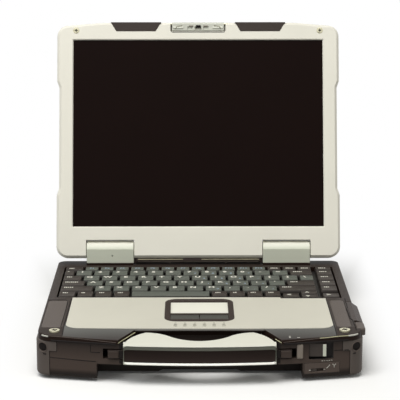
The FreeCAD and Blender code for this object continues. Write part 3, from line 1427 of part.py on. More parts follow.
glass = box("glass_sheet", glass_x, glass_y, glass_z)
node("lcd_glass", group("lcd_glass", glass), open_pose)
panel = box("panel_block", both(screen_half + panel_margin), panel_y, (bezel_back, boss_low))
node("lcd_panel", group("lcd_panel", panel), open_pose)
node("hinge_brackets", group("hinge_brackets", *brackets), open_pose)
node("hinge_pins", group("hinge_pins", *pins, latch_pin), open_pose)
bar_half = hinge_inner - notch_gap - bar_end_gap
bar_round = rod("bar_round", "X", bar_radius, 2 * bar_half, (-bar_half, axis_y, axis_z))
bar_space = box("bar_space", both(WIDE), (lid_rear, WIDE), (bezel_back, 2 * axis_z - bezel_back))
node("hinge_bar", common("hinge_bar", bar_round, bar_space), open_pose)
node("lid_bumpers", group("lid_bumpers", *bumpers), open_pose)
node("bezel_screws", group("bezel_screws", *screws), open_pose)
flap_y = (latch_y, latch_y + latch_reach)
flap = [box("flap_plate", both(latch_half), flap_y, (latch_low, latch_high)),
        rod("flap_barrel", "X", latch_thickness / 2, 2 * latch_half, (-latch_half, latch_y, latch_z))]
window_y = (latch_y + latch_window_from, latch_y + latch_window_from + latch_window_tall)
flap_bore = rod("flap_bore", "X", latch_pin_radius + running_gap, 2 * (latch_half + PAST),
                (-latch_half - PAST, latch_y, latch_z))
flap_tools = [box("flap_window", both(latch_window_half), window_y, (0, WIDE)), flap_bore]
for side_name, side in SIDES:
    slot_x = span(side, latch_slot_from, latch_slot_from + latch_slot_width)
    flap_tools.append(box(f"{side_name}_flap_slot", slot_x, window_y, (0, latch_low + latch_thickness / 2)))
    grip_x = span(side, latch_grip_from, latch_grip_from + latch_grip_width)
    grip_radius = latch_reach / 4
    flap.append(rod(f"{side_name}_flap_grip", "X", grip_radius, latch_grip_width,
                    (grip_x[0], latch_y + latch_reach * 0.6, latch_low + grip_radius - latch_grip_proud)))
node("latch_flap", cut("latch_flap", fuse("flap_blank", *flap), *flap_tools), open_pose)

# Checks and files
doc.recompute()
bad = [item.Name for item in doc.Objects if "Invalid" in item.State or "Error" in item.State]
if bad:
    raise ValueError(f"not valid: {bad}")
os.makedirs("parts", exist_ok=True)
for label, item in NODES.items():
    shape = item.Shape
    if shape.isNull() or not shape.isValid():
        raise ValueError(f"{label} has no valid shape")
    shape.exportStep(f"parts/{label}.step")
    bounds = shape.BoundBox
    measured = (bounds.XLength, bounds.YLength, bounds.ZLength)
    print(label, len(shape.Solids), *[round(length, 1) for length in measured])
print(len(NODES), "sub-parts")
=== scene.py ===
# %% [markdown]
# # An open rugged laptop
# The solids come from the CAD model as a fixed frame. This lesson dresses them: it puts up a
# camera and soft light, gives every surface a finish with grain, wear and some painted light and
# shade, and adds the small pieces that the solids leave out, such as dished key caps, legends and
# screw slots.

# %% Load the frame
import json
import math

import bmesh
import bpy
from mathutils import Euler, Matrix, Vector


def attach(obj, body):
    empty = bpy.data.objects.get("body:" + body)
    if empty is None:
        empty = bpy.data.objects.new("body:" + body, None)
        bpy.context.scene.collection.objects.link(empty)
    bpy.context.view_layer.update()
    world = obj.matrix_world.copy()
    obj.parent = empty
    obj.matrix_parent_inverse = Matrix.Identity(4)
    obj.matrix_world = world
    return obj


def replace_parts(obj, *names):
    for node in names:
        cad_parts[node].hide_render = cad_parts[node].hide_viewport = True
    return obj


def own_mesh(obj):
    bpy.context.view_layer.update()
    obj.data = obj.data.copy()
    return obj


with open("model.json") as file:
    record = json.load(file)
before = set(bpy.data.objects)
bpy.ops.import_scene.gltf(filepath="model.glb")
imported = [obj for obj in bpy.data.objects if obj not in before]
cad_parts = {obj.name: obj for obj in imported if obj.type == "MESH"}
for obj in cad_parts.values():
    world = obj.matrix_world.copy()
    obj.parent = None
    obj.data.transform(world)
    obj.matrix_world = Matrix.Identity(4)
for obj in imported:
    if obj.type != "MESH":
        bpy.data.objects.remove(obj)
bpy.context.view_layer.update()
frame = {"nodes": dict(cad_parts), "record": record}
nodes = frame["nodes"]
scene = bpy.context.scene
scene.view_settings.view_transform = "Standard"

# %% [markdown]
# ## Camera
# The picture was taken with a long lens from a little above the keyboard, almost straight on.
# A long lens keeps the lid's sides nearly parallel, so the focal length matters as much as the
# place. The numbers below were found by fitting the corners of the screen and of the base.

# %% Camera
PIXELS = 400
FOCAL_PIXELS = 1660.4
LOOK_DOWN = math.radians(12.357)
LOOK_ASIDE = math.radians(0.341)
CAMERA_PLACE = (-0.00855, -1.6120, 0.4948)
lens = bpy.data.cameras.new("lens")
lens.sensor_width = 36.0
lens.lens = lens.sensor_width * FOCAL_PIXELS / PIXELS
lens.clip_end = 20.0
camera = bpy.data.objects.new("camera", lens)
scene.collection.objects.link(camera)
ahead = math.cos(LOOK_DOWN)
sight = Vector((math.sin(LOOK_ASIDE) * ahead, math.cos(LOOK_ASIDE) * ahead, -math.sin(LOOK_DOWN)))
camera.location = CAMERA_PLACE
camera.rotation_euler = sight.to_track_quat("-Z", "Y").to_euler()
scene.camera = camera
print("lens:", round(lens.lens, 1), "mm")


# %% [markdown]
# ## Floor and backdrop
# The floor is a wide pale sheet. Where it is seen it is white paper with a real shadow near the
# object, and it turns to an even white glow further out and at the sides, so that no horizon
# shows. The light that bounces off it onto the object stays weak, because upright faces are dark
# in the picture. The world does the same: white where it is seen, dimmer where it lights.

# %% Node helpers
def add_node(tree, kind, inputs=None, **settings):
    """One node, with its settings and unlinked inputs."""
    made = tree.nodes.new(kind)
    for name, value in settings.items():
        setattr(made, name, value)
    for name, value in (inputs or {}).items():
        made.inputs[name].default_value = value
    return made


def blank_material(name):
    """A new material with nothing but its output node."""
    material = bpy.data.materials.new(name)
    material.use_nodes = True
    material.node_tree.nodes.clear()
    output = material.node_tree.nodes.new("ShaderNodeOutputMaterial")
    return material, material.node_tree, output


def maths(tree, operation, first, second=0.0):
    """One sum on two sockets or numbers."""
    made = add_node(tree, "ShaderNodeMath", operation=operation)
    for index, value in enumerate((first, second)):
        if isinstance(value, (int, float)):
            made.inputs[index].default_value = value
        else:
            tree.links.new(value, made.inputs[index])
    return made.outputs[0]


def spread(tree, value, low, high, to_low=0.0, to_high=1.0, curve="LINEAR"):
    """A socket's value, stretched from one range to another."""
    inputs = {"From Min": low, "From Max": high, "To Min": to_low, "To Max": to_high}
    stretch = add_node(tree, "ShaderNodeMapRange", inputs, interpolation_type=curve)
    tree.links.new(value, stretch.inputs["Value"])
    return stretch.outputs["Result"]


def own_place(tree):
    """Sockets of the object's own X, Y and Z."""
    place = add_node(tree, "ShaderNodeTexCoord")
    apart = add_node(tree, "ShaderNodeSeparateXYZ")
    tree.links.new(place.outputs["Object"], apart.inputs[0])
    return apart.outputs


def mix_shaders(tree, factor, first, second):
    """A blend of two shader nodes by a socket."""
    mix = add_node(tree, "ShaderNodeMixShader")
    tree.links.new(factor, mix.inputs[0])
    tree.links.new(first.outputs[0], mix.inputs[1])
    tree.links.new(second.outputs[0], mix.inputs[2])
    return mix


def seen_directly(tree):
    """A socket that is 1 for rays that show a surface, and 0 for rays that only light others."""
    path = add_node(tree, "ShaderNodeLightPath").outputs
    through = maths(tree, "MAXIMUM", path["Is Camera Ray"], path["Is Transmission Ray"])
    return maths(tree, "MAXIMUM", through, path["Is Glossy Ray"])


def grey(level):
    """A grey of one level."""
    return (level, level, level, 1.0)


# %% Floor sheet
FLOOR_HALF = 4.0
floor_mesh = bpy.data.meshes.new("floor")
floor_corners = [(x * FLOOR_HALF, y * FLOOR_HALF, 0) for x, y in ((-1, -1), (1, -1), (1, 1), (-1, 1))]
floor_mesh.from_pydata(floor_corners, [], [(0, 1, 2, 3)])
floor = bpy.data.objects.new("floor", floor_mesh)
scene.collection.objects.link(floor)
print("floor:", 2 * FLOOR_HALF, "m wide")

# %% Floor paper
FLOOR_BOUNCE = 0.3
FLOOR_WHITE = 0.95
FLOOR_LIFT = 0.02
FLOOR_NEAR = 0.20
FLOOR_FAR = 0.42
SIDE_NEAR = 0.150
SIDE_FAR = 0.205
paper, tree, output = blank_material("pale paper")
dim = add_node(tree, "ShaderNodeBsdfDiffuse", {"Color": grey(FLOOR_BOUNCE)})
matt = add_node(tree, "ShaderNodeBsdfDiffuse", {"Color": grey(FLOOR_WHITE)})
lift = add_node(tree, "ShaderNodeEmission", {"Color": grey(1.0), "Strength": FLOOR_LIFT})
glow = add_node(tree, "ShaderNodeEmission", {"Color": grey(1.0), "Strength": 1.0})
near = add_node(tree, "ShaderNodeAddShader")
tree.links.new(matt.outputs[0], near.inputs[0])
tree.links.new(lift.outputs[0], near.inputs[1])
place = add_node(tree, "ShaderNodeTexCoord")
distance = add_node(tree, "ShaderNodeVectorMath", operation="LENGTH")
tree.links.new(place.outputs["Object"], distance.inputs[0])
far_fade = spread(tree, distance.outputs["Value"], FLOOR_NEAR, FLOOR_FAR, curve="SMOOTHSTEP")
beside = maths(tree, "ABSOLUTE", own_place(tree)["X"])
side_fade = spread(tree, beside, SIDE_NEAR, SIDE_FAR, curve="SMOOTHSTEP")
sheet = mix_shaders(tree, maths(tree, "MAXIMUM", far_fade, side_fade), near, glow)
choose = mix_shaders(tree, seen_directly(tree), dim, sheet)
tree.links.new(choose.outputs[0], output.inputs["Surface"])
floor_mesh.materials.append(paper)
print("floor turns white from", FLOOR_NEAR, "to", FLOOR_FAR, "m")

# %% World
AMBIENT = 0.26
AMBIENT_TINT = (0.99, 1.0, 0.96, 1)
world = bpy.data.worlds.new("studio")
scene.world = world
world.use_nodes = True
tree = world.node_tree
tree.nodes.clear()
output = tree.nodes.new("ShaderNodeOutputWorld")
ambient = add_node(tree, "ShaderNodeBackground", {"Color": AMBIENT_TINT, "Strength": AMBIENT})
white = add_node(tree, "ShaderNodeBackground", {"Color": grey(1.0), "Strength": 1.0})
choose = mix_shaders(tree, seen_directly(tree), ambient, white)
tree.links.new(choose.outputs[0], output.inputs["Surface"])
print("world light:", AMBIENT)


# %% [markdown]
# ## Lamps
# Level faces are the brightest in the picture, the lid is a little darker and warms towards its
# right, and upright fronts are about half as bright. A large soft box high in front gives that
# order of brightness. A smaller one at the left draws the lid's upper left corner forward, and a
# weak warm one at the right lifts the lid's lower right and the fronts on that side. Area lamps
# are used, because point or spot lamps would draw hard shadows under the lid.

# %% Lamps
def soft_box(name, place, aim, size, watts, colour):
    """A rectangular studio lamp that faces a point."""
    light = bpy.data.lights.new(name, "AREA")
    light.shape = "RECTANGLE"
    light.size, light.size_y = size
    light.energy = watts
    light.color = colour
    lamp = bpy.data.objects.new(name, light)
    lamp.location = place
    lamp.rotation_euler = (Vector(aim) - Vector(place)).to_track_quat("-Z", "Y").to_euler()
    scene.collection.objects.link(lamp)


soft_box("top_box", (-0.30, -0.70, 2.0), (0, 0.02, 0.1), (1.5, 1.2), 35, (1.0, 0.985, 0.95))
soft_box("left_box", (-0.95, -0.75, 0.95), (-0.05, 0.15, 0.2), (0.7, 0.7), 4.2, (0.94, 0.97, 1.0))
soft_box("right_box", (1.05, -0.80, 0.45), (0.10, 0.10, 0.1), (0.6, 0.6), 1.5, (1.0, 0.98, 0.88))
print("lamps:", [light.name for light in bpy.data.lights])


# %% [markdown]
# ## Finishes
# Painted metal, moulded plastic and rubber are all one opaque layer with a grain. One helper
# makes them: a fine noise for the grain and the roughness, a slow noise for the small changes of
# colour, and a Bevel node that rounds sharp edges in the shading. Where the rounded normal leaves
# the true one there is an edge, so the same node also says where edges turn paler, which is partly
# wear from handling and partly a painted highlight.

# %% Colour helpers
def tint(code, level=1.0):
    """The linear shader colour of a hex code, at a share of its brightness."""
    shares = [int(code[at:at + 2], 16) / 255 for at in (0, 2, 4)]
    linear = [share / 12.92 if share <= 0.04045 else ((share + 0.055) / 1.055) ** 2.4 for share in shares]
    return tuple(min(1.0, value * level) for value in linear) + (1.0,)


def blend_colours(tree, factor, first, second):
    """A mix of two colours by a socket; each colour is a value or a socket."""
    mix = add_node(tree, "ShaderNodeMix", data_type="RGBA")
    tree.links.new(factor, mix.inputs[0])
    for index, colour in ((6, first), (7, second)):
        if isinstance(colour, tuple):
            mix.inputs[index].default_value = colour
        else:
            tree.links.new(colour, mix.inputs[index])
    return mix.outputs[2]


def noise(tree, scale, detail=3.0):
    """A noise on the object's own coordinates."""
    place = add_node(tree, "ShaderNodeTexCoord")
    grains = add_node(tree, "ShaderNodeTexNoise", {"Scale": scale, "Detail": detail})
    tree.links.new(place.outputs["Object"], grains.inputs["Vector"])
    return grains.outputs["Fac"]


# %% [markdown]
# ## Zones of a finish
# Some finishes change over one piece. Edges turn paler, partly from wear and partly as a painted
# highlight, a recess is painted black as painted shade, the deck is greyer where it slopes to the
# front, and painted shade darkens the case under the deck and towards the floor. Each zone is a
# socket from 0 to 1 on the object's own coordinates, so it stays put in every pose.

# %% Zone helpers
EDGE_TURN = (0.985, 0.8)
SHEEN_AND_SCUFF_PATCHES = (0.35, 0.65)
SHEEN_AND_SCUFF_LEAST = 0.3
REAR_START = (-0.112, -0.092)
FORE_START = (-0.145, -0.121)
SIDE_START = (0.1265, 0.1280)
# Heights where painted shade darkens the case: under the deck's overhang, and near the floor.
SHADE_HIGH = (0.022, 0.0385)
SHADE_LOW = (0.0115, 0.0080)
HIGH_DARKNESS = 0.7
LOW_DARKNESS = 0.8


def sheen_and_scuff_mask(tree, rounded, patches, sheen_and_scuff):
    """A socket that rises along edges, for a paler tone that is partly wear and partly painted highlight,
    more in some patches than in others.
    """
    surface = add_node(tree, "ShaderNodeNewGeometry")
    facing = add_node(tree, "ShaderNodeVectorMath", operation="DOT_PRODUCT")
    tree.links.new(rounded.outputs["Normal"], facing.inputs[0])
    tree.links.new(surface.outputs["True Normal"], facing.inputs[1])
    edge = spread(tree, facing.outputs["Value"], *EDGE_TURN, 0.0, sheen_and_scuff)
    return maths(tree, "MULTIPLY", edge, spread(tree, patches, *SHEEN_AND_SCUFF_PATCHES, SHEEN_AND_SCUFF_LEAST, 1.0))


def box_mask(tree, low, high):
    """A socket that is 1 inside a box, from millimetres."""
    place = own_place(tree)
    inside = None
    for axis, least, most in zip("XYZ", low, high):
        above = maths(tree, "GREATER_THAN", place[axis], least / 1000)
        within = maths(tree, "MULTIPLY", above, maths(tree, "LESS_THAN", place[axis], most / 1000))
        inside = maths(tree, "MULTIPLY", inside, within) if inside else within
    return inside


def level_tone(tree, top, fore, rear):
    """The colour of level faces, painted lighter than upright faces as painted light: one tone in front,
    another at the rear and the sides.
    """
    place = own_place(tree)
    level = blend_colours(tree, spread(tree, place["Y"], *FORE_START, 1.0, 0.0), tint(top), tint(fore))
    behind = spread(tree, place["Y"], *REAR_START)
    outside = spread(tree, maths(tree, "ABSOLUTE", place["X"]), *SIDE_START)
    return blend_colours(tree, maths(tree, "MAXIMUM", behind, outside), level, tint(rear))


def case_shade(tree):
    """A socket for painted shade, which rises towards the case's upper edge under the deck and its lower edge
    near the floor.
    """
    height = own_place(tree)["Z"]
    upper = spread(tree, height, *SHADE_HIGH, 0.0, HIGH_DARKNESS)
    lower = spread(tree, height, *SHADE_LOW, 0.0, LOW_DARKNESS)
    return maths(tree, "MAXIMUM", upper, lower)


# %% Finish helper
NOISE_SPAN = (0.3, 0.7)
SLOW_NOISE = {"scale": 18.0, "detail": 4.0}
# How far a face must look up before it gets the painted light of the top tone.
LEVEL_TURN = (0.55, 0.95)
GRAIN_DEPTH = 0.0002
ROUGH_SWING = 0.07
SPECK_LEVEL = 0.4
# Painted shade: the near black painted inside the switch recess.
RECESS_SHADE = "0F0B0A"
# The near black of the painted shade on the case.
SHADE_BLACK = "120C0A"


def finish(name, colour, rough, metal=0.0, shine=0.5, grain=900.0, relief=0.12, patch=0.05, speckle=0.05,
           sheen_and_scuff_tone=None, sheen_and_scuff=0.4, edge=0.0006, top=None, rear=None, fore=None, recess=None, shaded=False):
    """An opaque finish with grain, slow colour changes, edges that are partly worn and partly painted
    highlight, level faces painted lighter as painted light where a top tone is given, and its own zones.
    """
    material, tree, output = blank_material(name)
    shader = add_node(tree, "ShaderNodeBsdfPrincipled", {"Metallic": metal, "Specular IOR Level": shine})
    fine = noise(tree, grain)
    slow = noise(tree, **SLOW_NOISE)
    rounded = add_node(tree, "ShaderNodeBevel", {"Radius": edge}, samples=4)
    coloured = blend_colours(tree, spread(tree, slow, *NOISE_SPAN),
                             tint(colour, 1 - patch), tint(colour, 1 + patch))
    # Painted light: faces that look up get the lighter top tone, as if lit from above, and upright faces keep
    # the darker colour.
    if top:
        upward = add_node(tree, "ShaderNodeSeparateXYZ")
        tree.links.new(rounded.outputs["Normal"], upward.inputs[0])
        level = level_tone(tree, top, fore, rear) if rear else tint(top)
        coloured = blend_colours(tree, spread(tree, upward.outputs["Z"], *LEVEL_TURN), coloured, level)
    specks = spread(tree, fine, *NOISE_SPAN, speckle, 0.0)
    coloured = blend_colours(tree, specks, coloured, tint(colour, SPECK_LEVEL))
    # Painted shade: the inside of a recess box is painted near black.
    if recess:
        coloured = blend_colours(tree, box_mask(tree, *recess), coloured, tint(RECESS_SHADE))
    # Painted shade on the case, under the deck and near the floor.
    if shaded:
        coloured = blend_colours(tree, case_shade(tree), coloured, tint(SHADE_BLACK))
    # Edges turn paler: partly wear, partly a painted highlight.
    if sheen_and_scuff_tone:
        coloured = blend_colours(tree, sheen_and_scuff_mask(tree, rounded, slow, sheen_and_scuff), coloured, tint(sheen_and_scuff_tone))
    tree.links.new(coloured, shader.inputs["Base Color"])
    roughness = spread(tree, fine, *NOISE_SPAN, rough - ROUGH_SWING, rough + ROUGH_SWING)
    tree.links.new(roughness, shader.inputs["Roughness"])
    bump = add_node(tree, "ShaderNodeBump", {"Strength": relief, "Distance": GRAIN_DEPTH})
    tree.links.new(fine, bump.inputs["Height"])
    tree.links.new(rounded.outputs["Normal"], bump.inputs["Normal"])
    tree.links.new(bump.outputs["Normal"], shader.inputs["Normal"])
    tree.links.new(shader.outputs[0], output.inputs["Surface"])
    return material


# %% [markdown]
# ## The finish of each slot
# The record gives every solid a material slot. Silver slots are a fine warm paint over cast
# metal, black slots are moulded plastic with a painted highlight along its edges, and the inner
# pieces get plain workshop finishes: bare sheet, board lacquer and cast aluminium. A few solids and
# the small pieces added below have a finish of their own. Where a recipe gives a top tone, level
# faces are painted lighter than upright ones as painted light. Each could be built by hand from
# nodes, but one table of recipes lets the finishes be compared line by line.

# %% Finishes
# The box of the switch recess on the case, painted near black as painted shade.
SWITCH_SHADE_BOX = ((100.6, -141.3, 21.2), (124.2, -128.0, 36.8))
PAINT = {"shine": 0.4, "grain": 1400, "patch": 0.02, "speckle": 0.03}
KEY = {"shine": 0.2, "grain": 1200, "edge": 0.0004}
PRINT = {"shine": 0.2, "speckle": 0.1}
RECIPES = {
    "silver_lid": ("EBE8DC", 0.46, {**PAINT, "sheen_and_scuff_tone": "F4F2EA", "sheen_and_scuff": 0.5}),
    "silver_panel": ("D2CFC1", 0.5, {**PAINT, "sheen_and_scuff_tone": "F2F0E6", "sheen_and_scuff": 0.5}),
    # Painted light: level faces of the hinge covers are painted lighter than their fronts.
    "silver_cover": ("D6D9C8", 0.45, {**PAINT, "sheen_and_scuff_tone": "F6F5EE", "sheen_and_scuff": 0.6, "top": "F0EFE4"}),
    # Painted light: the handle's top is painted lighter than its front; its wide pale edge tone is painted
    # highlight.
    "silver_handle": ("C9CCBC", 0.42, {**PAINT, "sheen_and_scuff_tone": "FAF9F2", "sheen_and_scuff": 0.9, "edge": 0.0011,
                                       "top": "DDDCCF"}),
    # Painted shade: a darker silver for the scoop that curves under. Painted highlight: a near white for the
    # lip below it.
    "scoop_shade_silver": ("7E8074", 0.4, {"shine": 0.35, "grain": 1400}),
    "lip_highlight": ("F6F5EE", 0.25, {"shine": 0.7, "grain": 1400, "speckle": 0.03}),
    "black_plastic": ("382F2B", 0.46, {"shine": 0.16, "grain": 700, "sheen_and_scuff_tone": "77706A"}),
    # Painted shade: the case is painted near black inside the switch recess, under the deck and near the
    # floor.
    "black_case": ("4A3F39", 0.5, {"shine": 0.16, "grain": 600, "relief": 0.2, "sheen_and_scuff_tone": "77706A",
                                   "recess": SWITCH_SHADE_BOX, "shaded": True}),
    "black_guard": ("5A524D", 0.55, {"shine": 0.2, "grain": 600, "relief": 0.2, "sheen_and_scuff_tone": "8A837B"}),
    # Painted light: the deck's level faces get lighter tones than its upright front band.
    "deck_black": ("241813", 0.46, {"shine": 0.08, "grain": 700, "sheen_and_scuff_tone": "8A857C", "sheen_and_scuff": 0.5,
                                    "top": "666663", "rear": "332B27", "fore": "45413F"}),
    "grip_black": ("2C2320", 0.62, {"shine": 0.08, "grain": 500, "relief": 0.3, "sheen_and_scuff_tone": "5A524C"}),
    "plate_brown": ("574C46", 0.5, {"shine": 0.2, "grain": 700, "sheen_and_scuff_tone": "8A8178"}),
    "slider_slate": ("423B37", 0.5, {"shine": 0.2, "grain": 1200, "sheen_and_scuff_tone": "77736E", "edge": 0.0005}),
    "rubber": ("3C3430", 0.75, {"shine": 0.25, "grain": 500, "relief": 0.3}),
    # Painted light: key tops are painted lighter than their sides, and their paler edges are mostly painted
    # highlight.
    "key_dark": ("201A17", 0.5, {**KEY, "sheen_and_scuff_tone": "6E6760", "sheen_and_scuff": 0.5, "top": "342D29"}),
    "key_grey": ("2A2A26", 0.5, {**KEY, "sheen_and_scuff_tone": "9A9B8E", "sheen_and_scuff": 0.6, "top": "5A5E57"}),
    "touch_white": ("EEEDDF", 0.55, {"shine": 0.4, "grain": 2200, "patch": 0.015, "speckle": 0.04}),
    "button_grey": ("4A4A44", 0.48, {"shine": 0.4, "grain": 1200, "sheen_and_scuff_tone": "86867E", "edge": 0.0005}),
    "screen_glass": ("140A08", 0.4, {"shine": 0.04, "grain": 3000, "relief": 0.02, "speckle": 0.1}),
    "status_clear": ("B9BDB6", 0.3, {"grain": 1500}),
    "screw_steel": ("DAD5B8", 0.3, {"metal": 0.6, "grain": 1800, "sheen_and_scuff_tone": "F4F1DC", "edge": 0.0003}),
    "latch_metal": ("BDBEB2", 0.4, {"metal": 0.2, "grain": 1400, "sheen_and_scuff_tone": "F2F0E8", "edge": 0.0004}),
    "steel_sheet": ("A9AAA8", 0.35, {"metal": 0.9, "grain": 1200}),
    "spreader_metal": ("B4B6B8", 0.38, {"metal": 0.9}),
    "port_metal": ("B8B6AE", 0.32, {"metal": 0.85, "grain": 1500}),
    "panel_dark": ("1E1B1A", 0.5, {"shine": 0.3, "grain": 800}),
    "board_green": ("1F4A32", 0.4, {"grain": 1100, "speckle": 0.3}),
    "legend_white": ("E4E2D6", 0.6, {"shine": 0.2, "grain": 2500, "speckle": 0.06}),
    "legend_blue": ("A9BCCB", 0.6, {"shine": 0.2, "grain": 2500, "speckle": 0.06}),
    # Dark joints, and painted shade in gaps, holes and screw recesses.
    "seam_and_shade_black": ("120C0A", 0.7, {**PRINT, "grain": 900}),
    "print_grey": ("8C8A7A", 0.6, {**PRINT, "grain": 2000}),
    # Pale print, also used for painted highlights on the deck's rounded corners.
    "pale_print_and_highlight": ("C9C7BE", 0.6, {**PRINT, "grain": 2000}),
    # Painted highlights on narrow edges.
    "pale_highlight": ("C6C29E", 0.45, {"shine": 0.4, "grain": 1400, "speckle": 0.1}),
    # Used for painted highlights on the hinge bar and the case ridge, and for the latch's marks and the bar's
    # bumps.
    "bar_strip": ("867C72", 0.5, {"shine": 0.4, "grain": 1200, "speckle": 0.1}),
}
FINISHES = {name: finish(name, colour, rough, **more) for name, (colour, rough, more) in RECIPES.items()}
print("finishes:", len(FINISHES))

# %% Finishes on the solids
OWN_FINISH = {
    "radio_plate": "plate_brown", "top_deck": "deck_black", "carry_handle": "silver_handle",
    "hinge_cover_left": "silver_cover", "hinge_cover_right": "silver_cover",
    "power_switch": "slider_slate", "radio_switch": "slider_slate",
}
for part in frame["record"]["subparts"]:
    slots = nodes[part["node"]].data.materials
    slots.clear()
    slots.append(FINISHES[OWN_FINISH.get(part["node"], part["material_slot"])])


# %% [markdown]
# ## Making pieces
# Every piece below ends the same way: a plain mesh at the origin, with its finishes and the body it
# moves with. Modifiers, curves and text only help on the way, because an export drops them, so
# their evaluated result is taken and the helper object is removed.

# %% Mesh helpers
MERGE_DISTANCE = 1e-6
SOFT_DEGREES = 35


def merged(node):
    """An editable copy of a solid's mesh, with its doubled points merged."""
    work = bmesh.new()
    work.from_mesh(nodes[node].data)
    bmesh.ops.remove_doubles(work, verts=work.verts, dist=MERGE_DISTANCE)
    return work


def mesh_from(work, name):
    """A mesh from an editable one, which is then freed."""
    mesh = bpy.data.meshes.new(name)
    work.to_mesh(mesh)
    work.free()
    return mesh


def plain_mesh(holder, name):
    """The evaluated mesh of a helper object, which is then removed."""
    bpy.context.view_layer.update()
    evaluated = holder.evaluated_get(bpy.context.evaluated_depsgraph_get())
    mesh = bpy.data.meshes.new_from_object(evaluated)
    mesh.name = name
    bpy.data.objects.remove(holder)
    return mesh


def soft_shading(mesh, degrees=SOFT_DEGREES):
    """Smooth shading that leaves edges sharper than an angle as they are."""
    mesh.shade_smooth()
    mesh.set_sharp_from_angle(angle=math.radians(degrees))


def add_piece(name, mesh, body, slot, *finish_names):
    """One finished piece with its body, and with finishes unless its mesh has them. Its slot is not used."""
    if finish_names:
        kinds = [polygon.material_index for polygon in mesh.polygons]
        mesh.materials.clear()
        for finish_name in finish_names:
            mesh.materials.append(FINISHES[finish_name])
        mesh.polygons.foreach_set("material_index", kinds)
    piece = bpy.data.objects.new(name, mesh)
    scene.collection.objects.link(piece)
    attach(piece, body)
    print(name, len(mesh.polygons), "faces")
    return piece


# %% [markdown]
# ## Key caps
# A real key cap is a tapered block whose top is dished, so that a finger finds its middle. The
# solids give each row of keys as plain tapered blocks. Their places and sizes are read here, and
# one Geometry Nodes tree raises a cap on each: it extrudes a flat quad, narrows the top, sinks
# the middle of the top inside a rim, and hollows the cap from below. A bevel softens every edge.
# A tree suits them, because all caps follow one rule and differ only in size and tone.

# %% Places of separate solids
def islands(node):
    """The points of each separate solid in a node."""
    work = merged(node)
    waiting = dict.fromkeys(work.verts)
    found = []
    while waiting:
        island = [waiting.popitem()[0]]
        for vert in island:
            for edge in vert.link_edges:
                other = edge.other_vert(vert)
                if other in waiting:
                    del waiting[other]
                    island.append(other)
        found.append([vert.co.copy() for vert in island])
    work.free()
    return found


def island_boxes(node):
    """The lowest and highest corner of each separate solid, from rear left to front right."""
    boxes = []
    for points in islands(node):
        low = Vector([min(point[axis] for point in points) for axis in range(3)])
        high = Vector([max(point[axis] for point in points) for axis in range(3)])
        boxes.append((low, high))
    return sorted(boxes, key=lambda corners: (-round(corners[0].y, 4), corners[0].x))


ROWS = ["function_keys", "number_keys", "upper_keys", "home_keys", "lower_keys", "bottom_keys",
        "space_bar", "side_keys", "arrow_keys"]
KEYS = {row: island_boxes(row) for row in ROWS}
print("keys:", {row: len(boxes) for row, boxes in KEYS.items()})


# %% Tree helpers
def new_tree(name, sizes, finish_inputs):
    """An empty Geometry Nodes tree with named inputs, and the identifiers of those inputs."""
    tree = bpy.data.node_groups.new(name, "GeometryNodeTree")
    for way in ("INPUT", "OUTPUT"):
        tree.interface.new_socket("Geometry", in_out=way, socket_type="NodeSocketGeometry")
    kinds = dict.fromkeys(sizes, "NodeSocketFloat")
    kinds.update(dict.fromkeys(finish_inputs, "NodeSocketMaterial"))
    sockets = {}
    for label, kind in kinds.items():
        sockets[label] = tree.interface.new_socket(label, in_out="INPUT", socket_type=kind).identifier
    return tree, sockets


def grown(mesh, tree, sockets, values):
    """A helper object whose modifier grows a tree from a mesh, with its inputs set."""
    holder = bpy.data.objects.new(mesh.name, mesh)
    scene.collection.objects.link(holder)
    grow = holder.modifiers.new("grow", "NODES")
    grow.node_group = tree
    for label, value in values.items():
        grow[sockets[label]] = value
    return holder


def attribute(tree, name, kind="FLOAT"):
    """A named attribute of the mesh."""
    made = add_node(tree, "GeometryNodeInputNamedAttribute", {"Name": name}, data_type=kind)
    return made.outputs["Attribute"]


def chain(tree, shape, *made):
    """Links geometry through nodes, one after another."""
    for node in made:
        tree.links.new(shape, node.inputs["Geometry"])
        shape = node.outputs["Geometry"]
    return shape


def raise_top(tree, mesh, selection, lift, shares):
    """Extrudes chosen faces one by one, then narrows their tops along x and y."""
    link = tree.links.new
    pull = add_node(tree, "GeometryNodeExtrudeMesh", {"Individual": True, "Offset Scale": 0.0}, mode="FACES")
    link(mesh, pull.inputs["Mesh"])
    if lift:
        link(lift, pull.inputs["Offset Scale"])
    if selection:
        link(selection, pull.inputs["Selection"])
    shape = pull.outputs["Mesh"]
    for axis, share in zip(((1, 0, 0), (0, 1, 0)), shares):
        narrow = add_node(tree, "GeometryNodeScaleElements", {"Axis": axis}, domain="FACE",
                          scale_mode="SINGLE_AXIS")
        link(pull.outputs["Top"], narrow.inputs["Selection"])
        link(share, narrow.inputs["Scale"])
        shape = chain(tree, shape, narrow)
    return shape, pull.outputs["Top"]


# %% Cap tree
CAP_SIZES = ("Height", "Taper", "Rim", "Dish", "Wall", "Cavity")
cap_tree, CAP_INPUTS = new_tree("key_caps", CAP_SIZES, ("Pale", "Dark"))
given = cap_tree.nodes.new("NodeGroupInput").outputs
result = cap_tree.nodes.new("NodeGroupOutput")


def inset(span, border):
    """What is left of a span inside a border on both sides."""
    return maths(cap_tree, "SUBTRACT", span, maths(cap_tree, "MULTIPLY", given[border], 2.0))


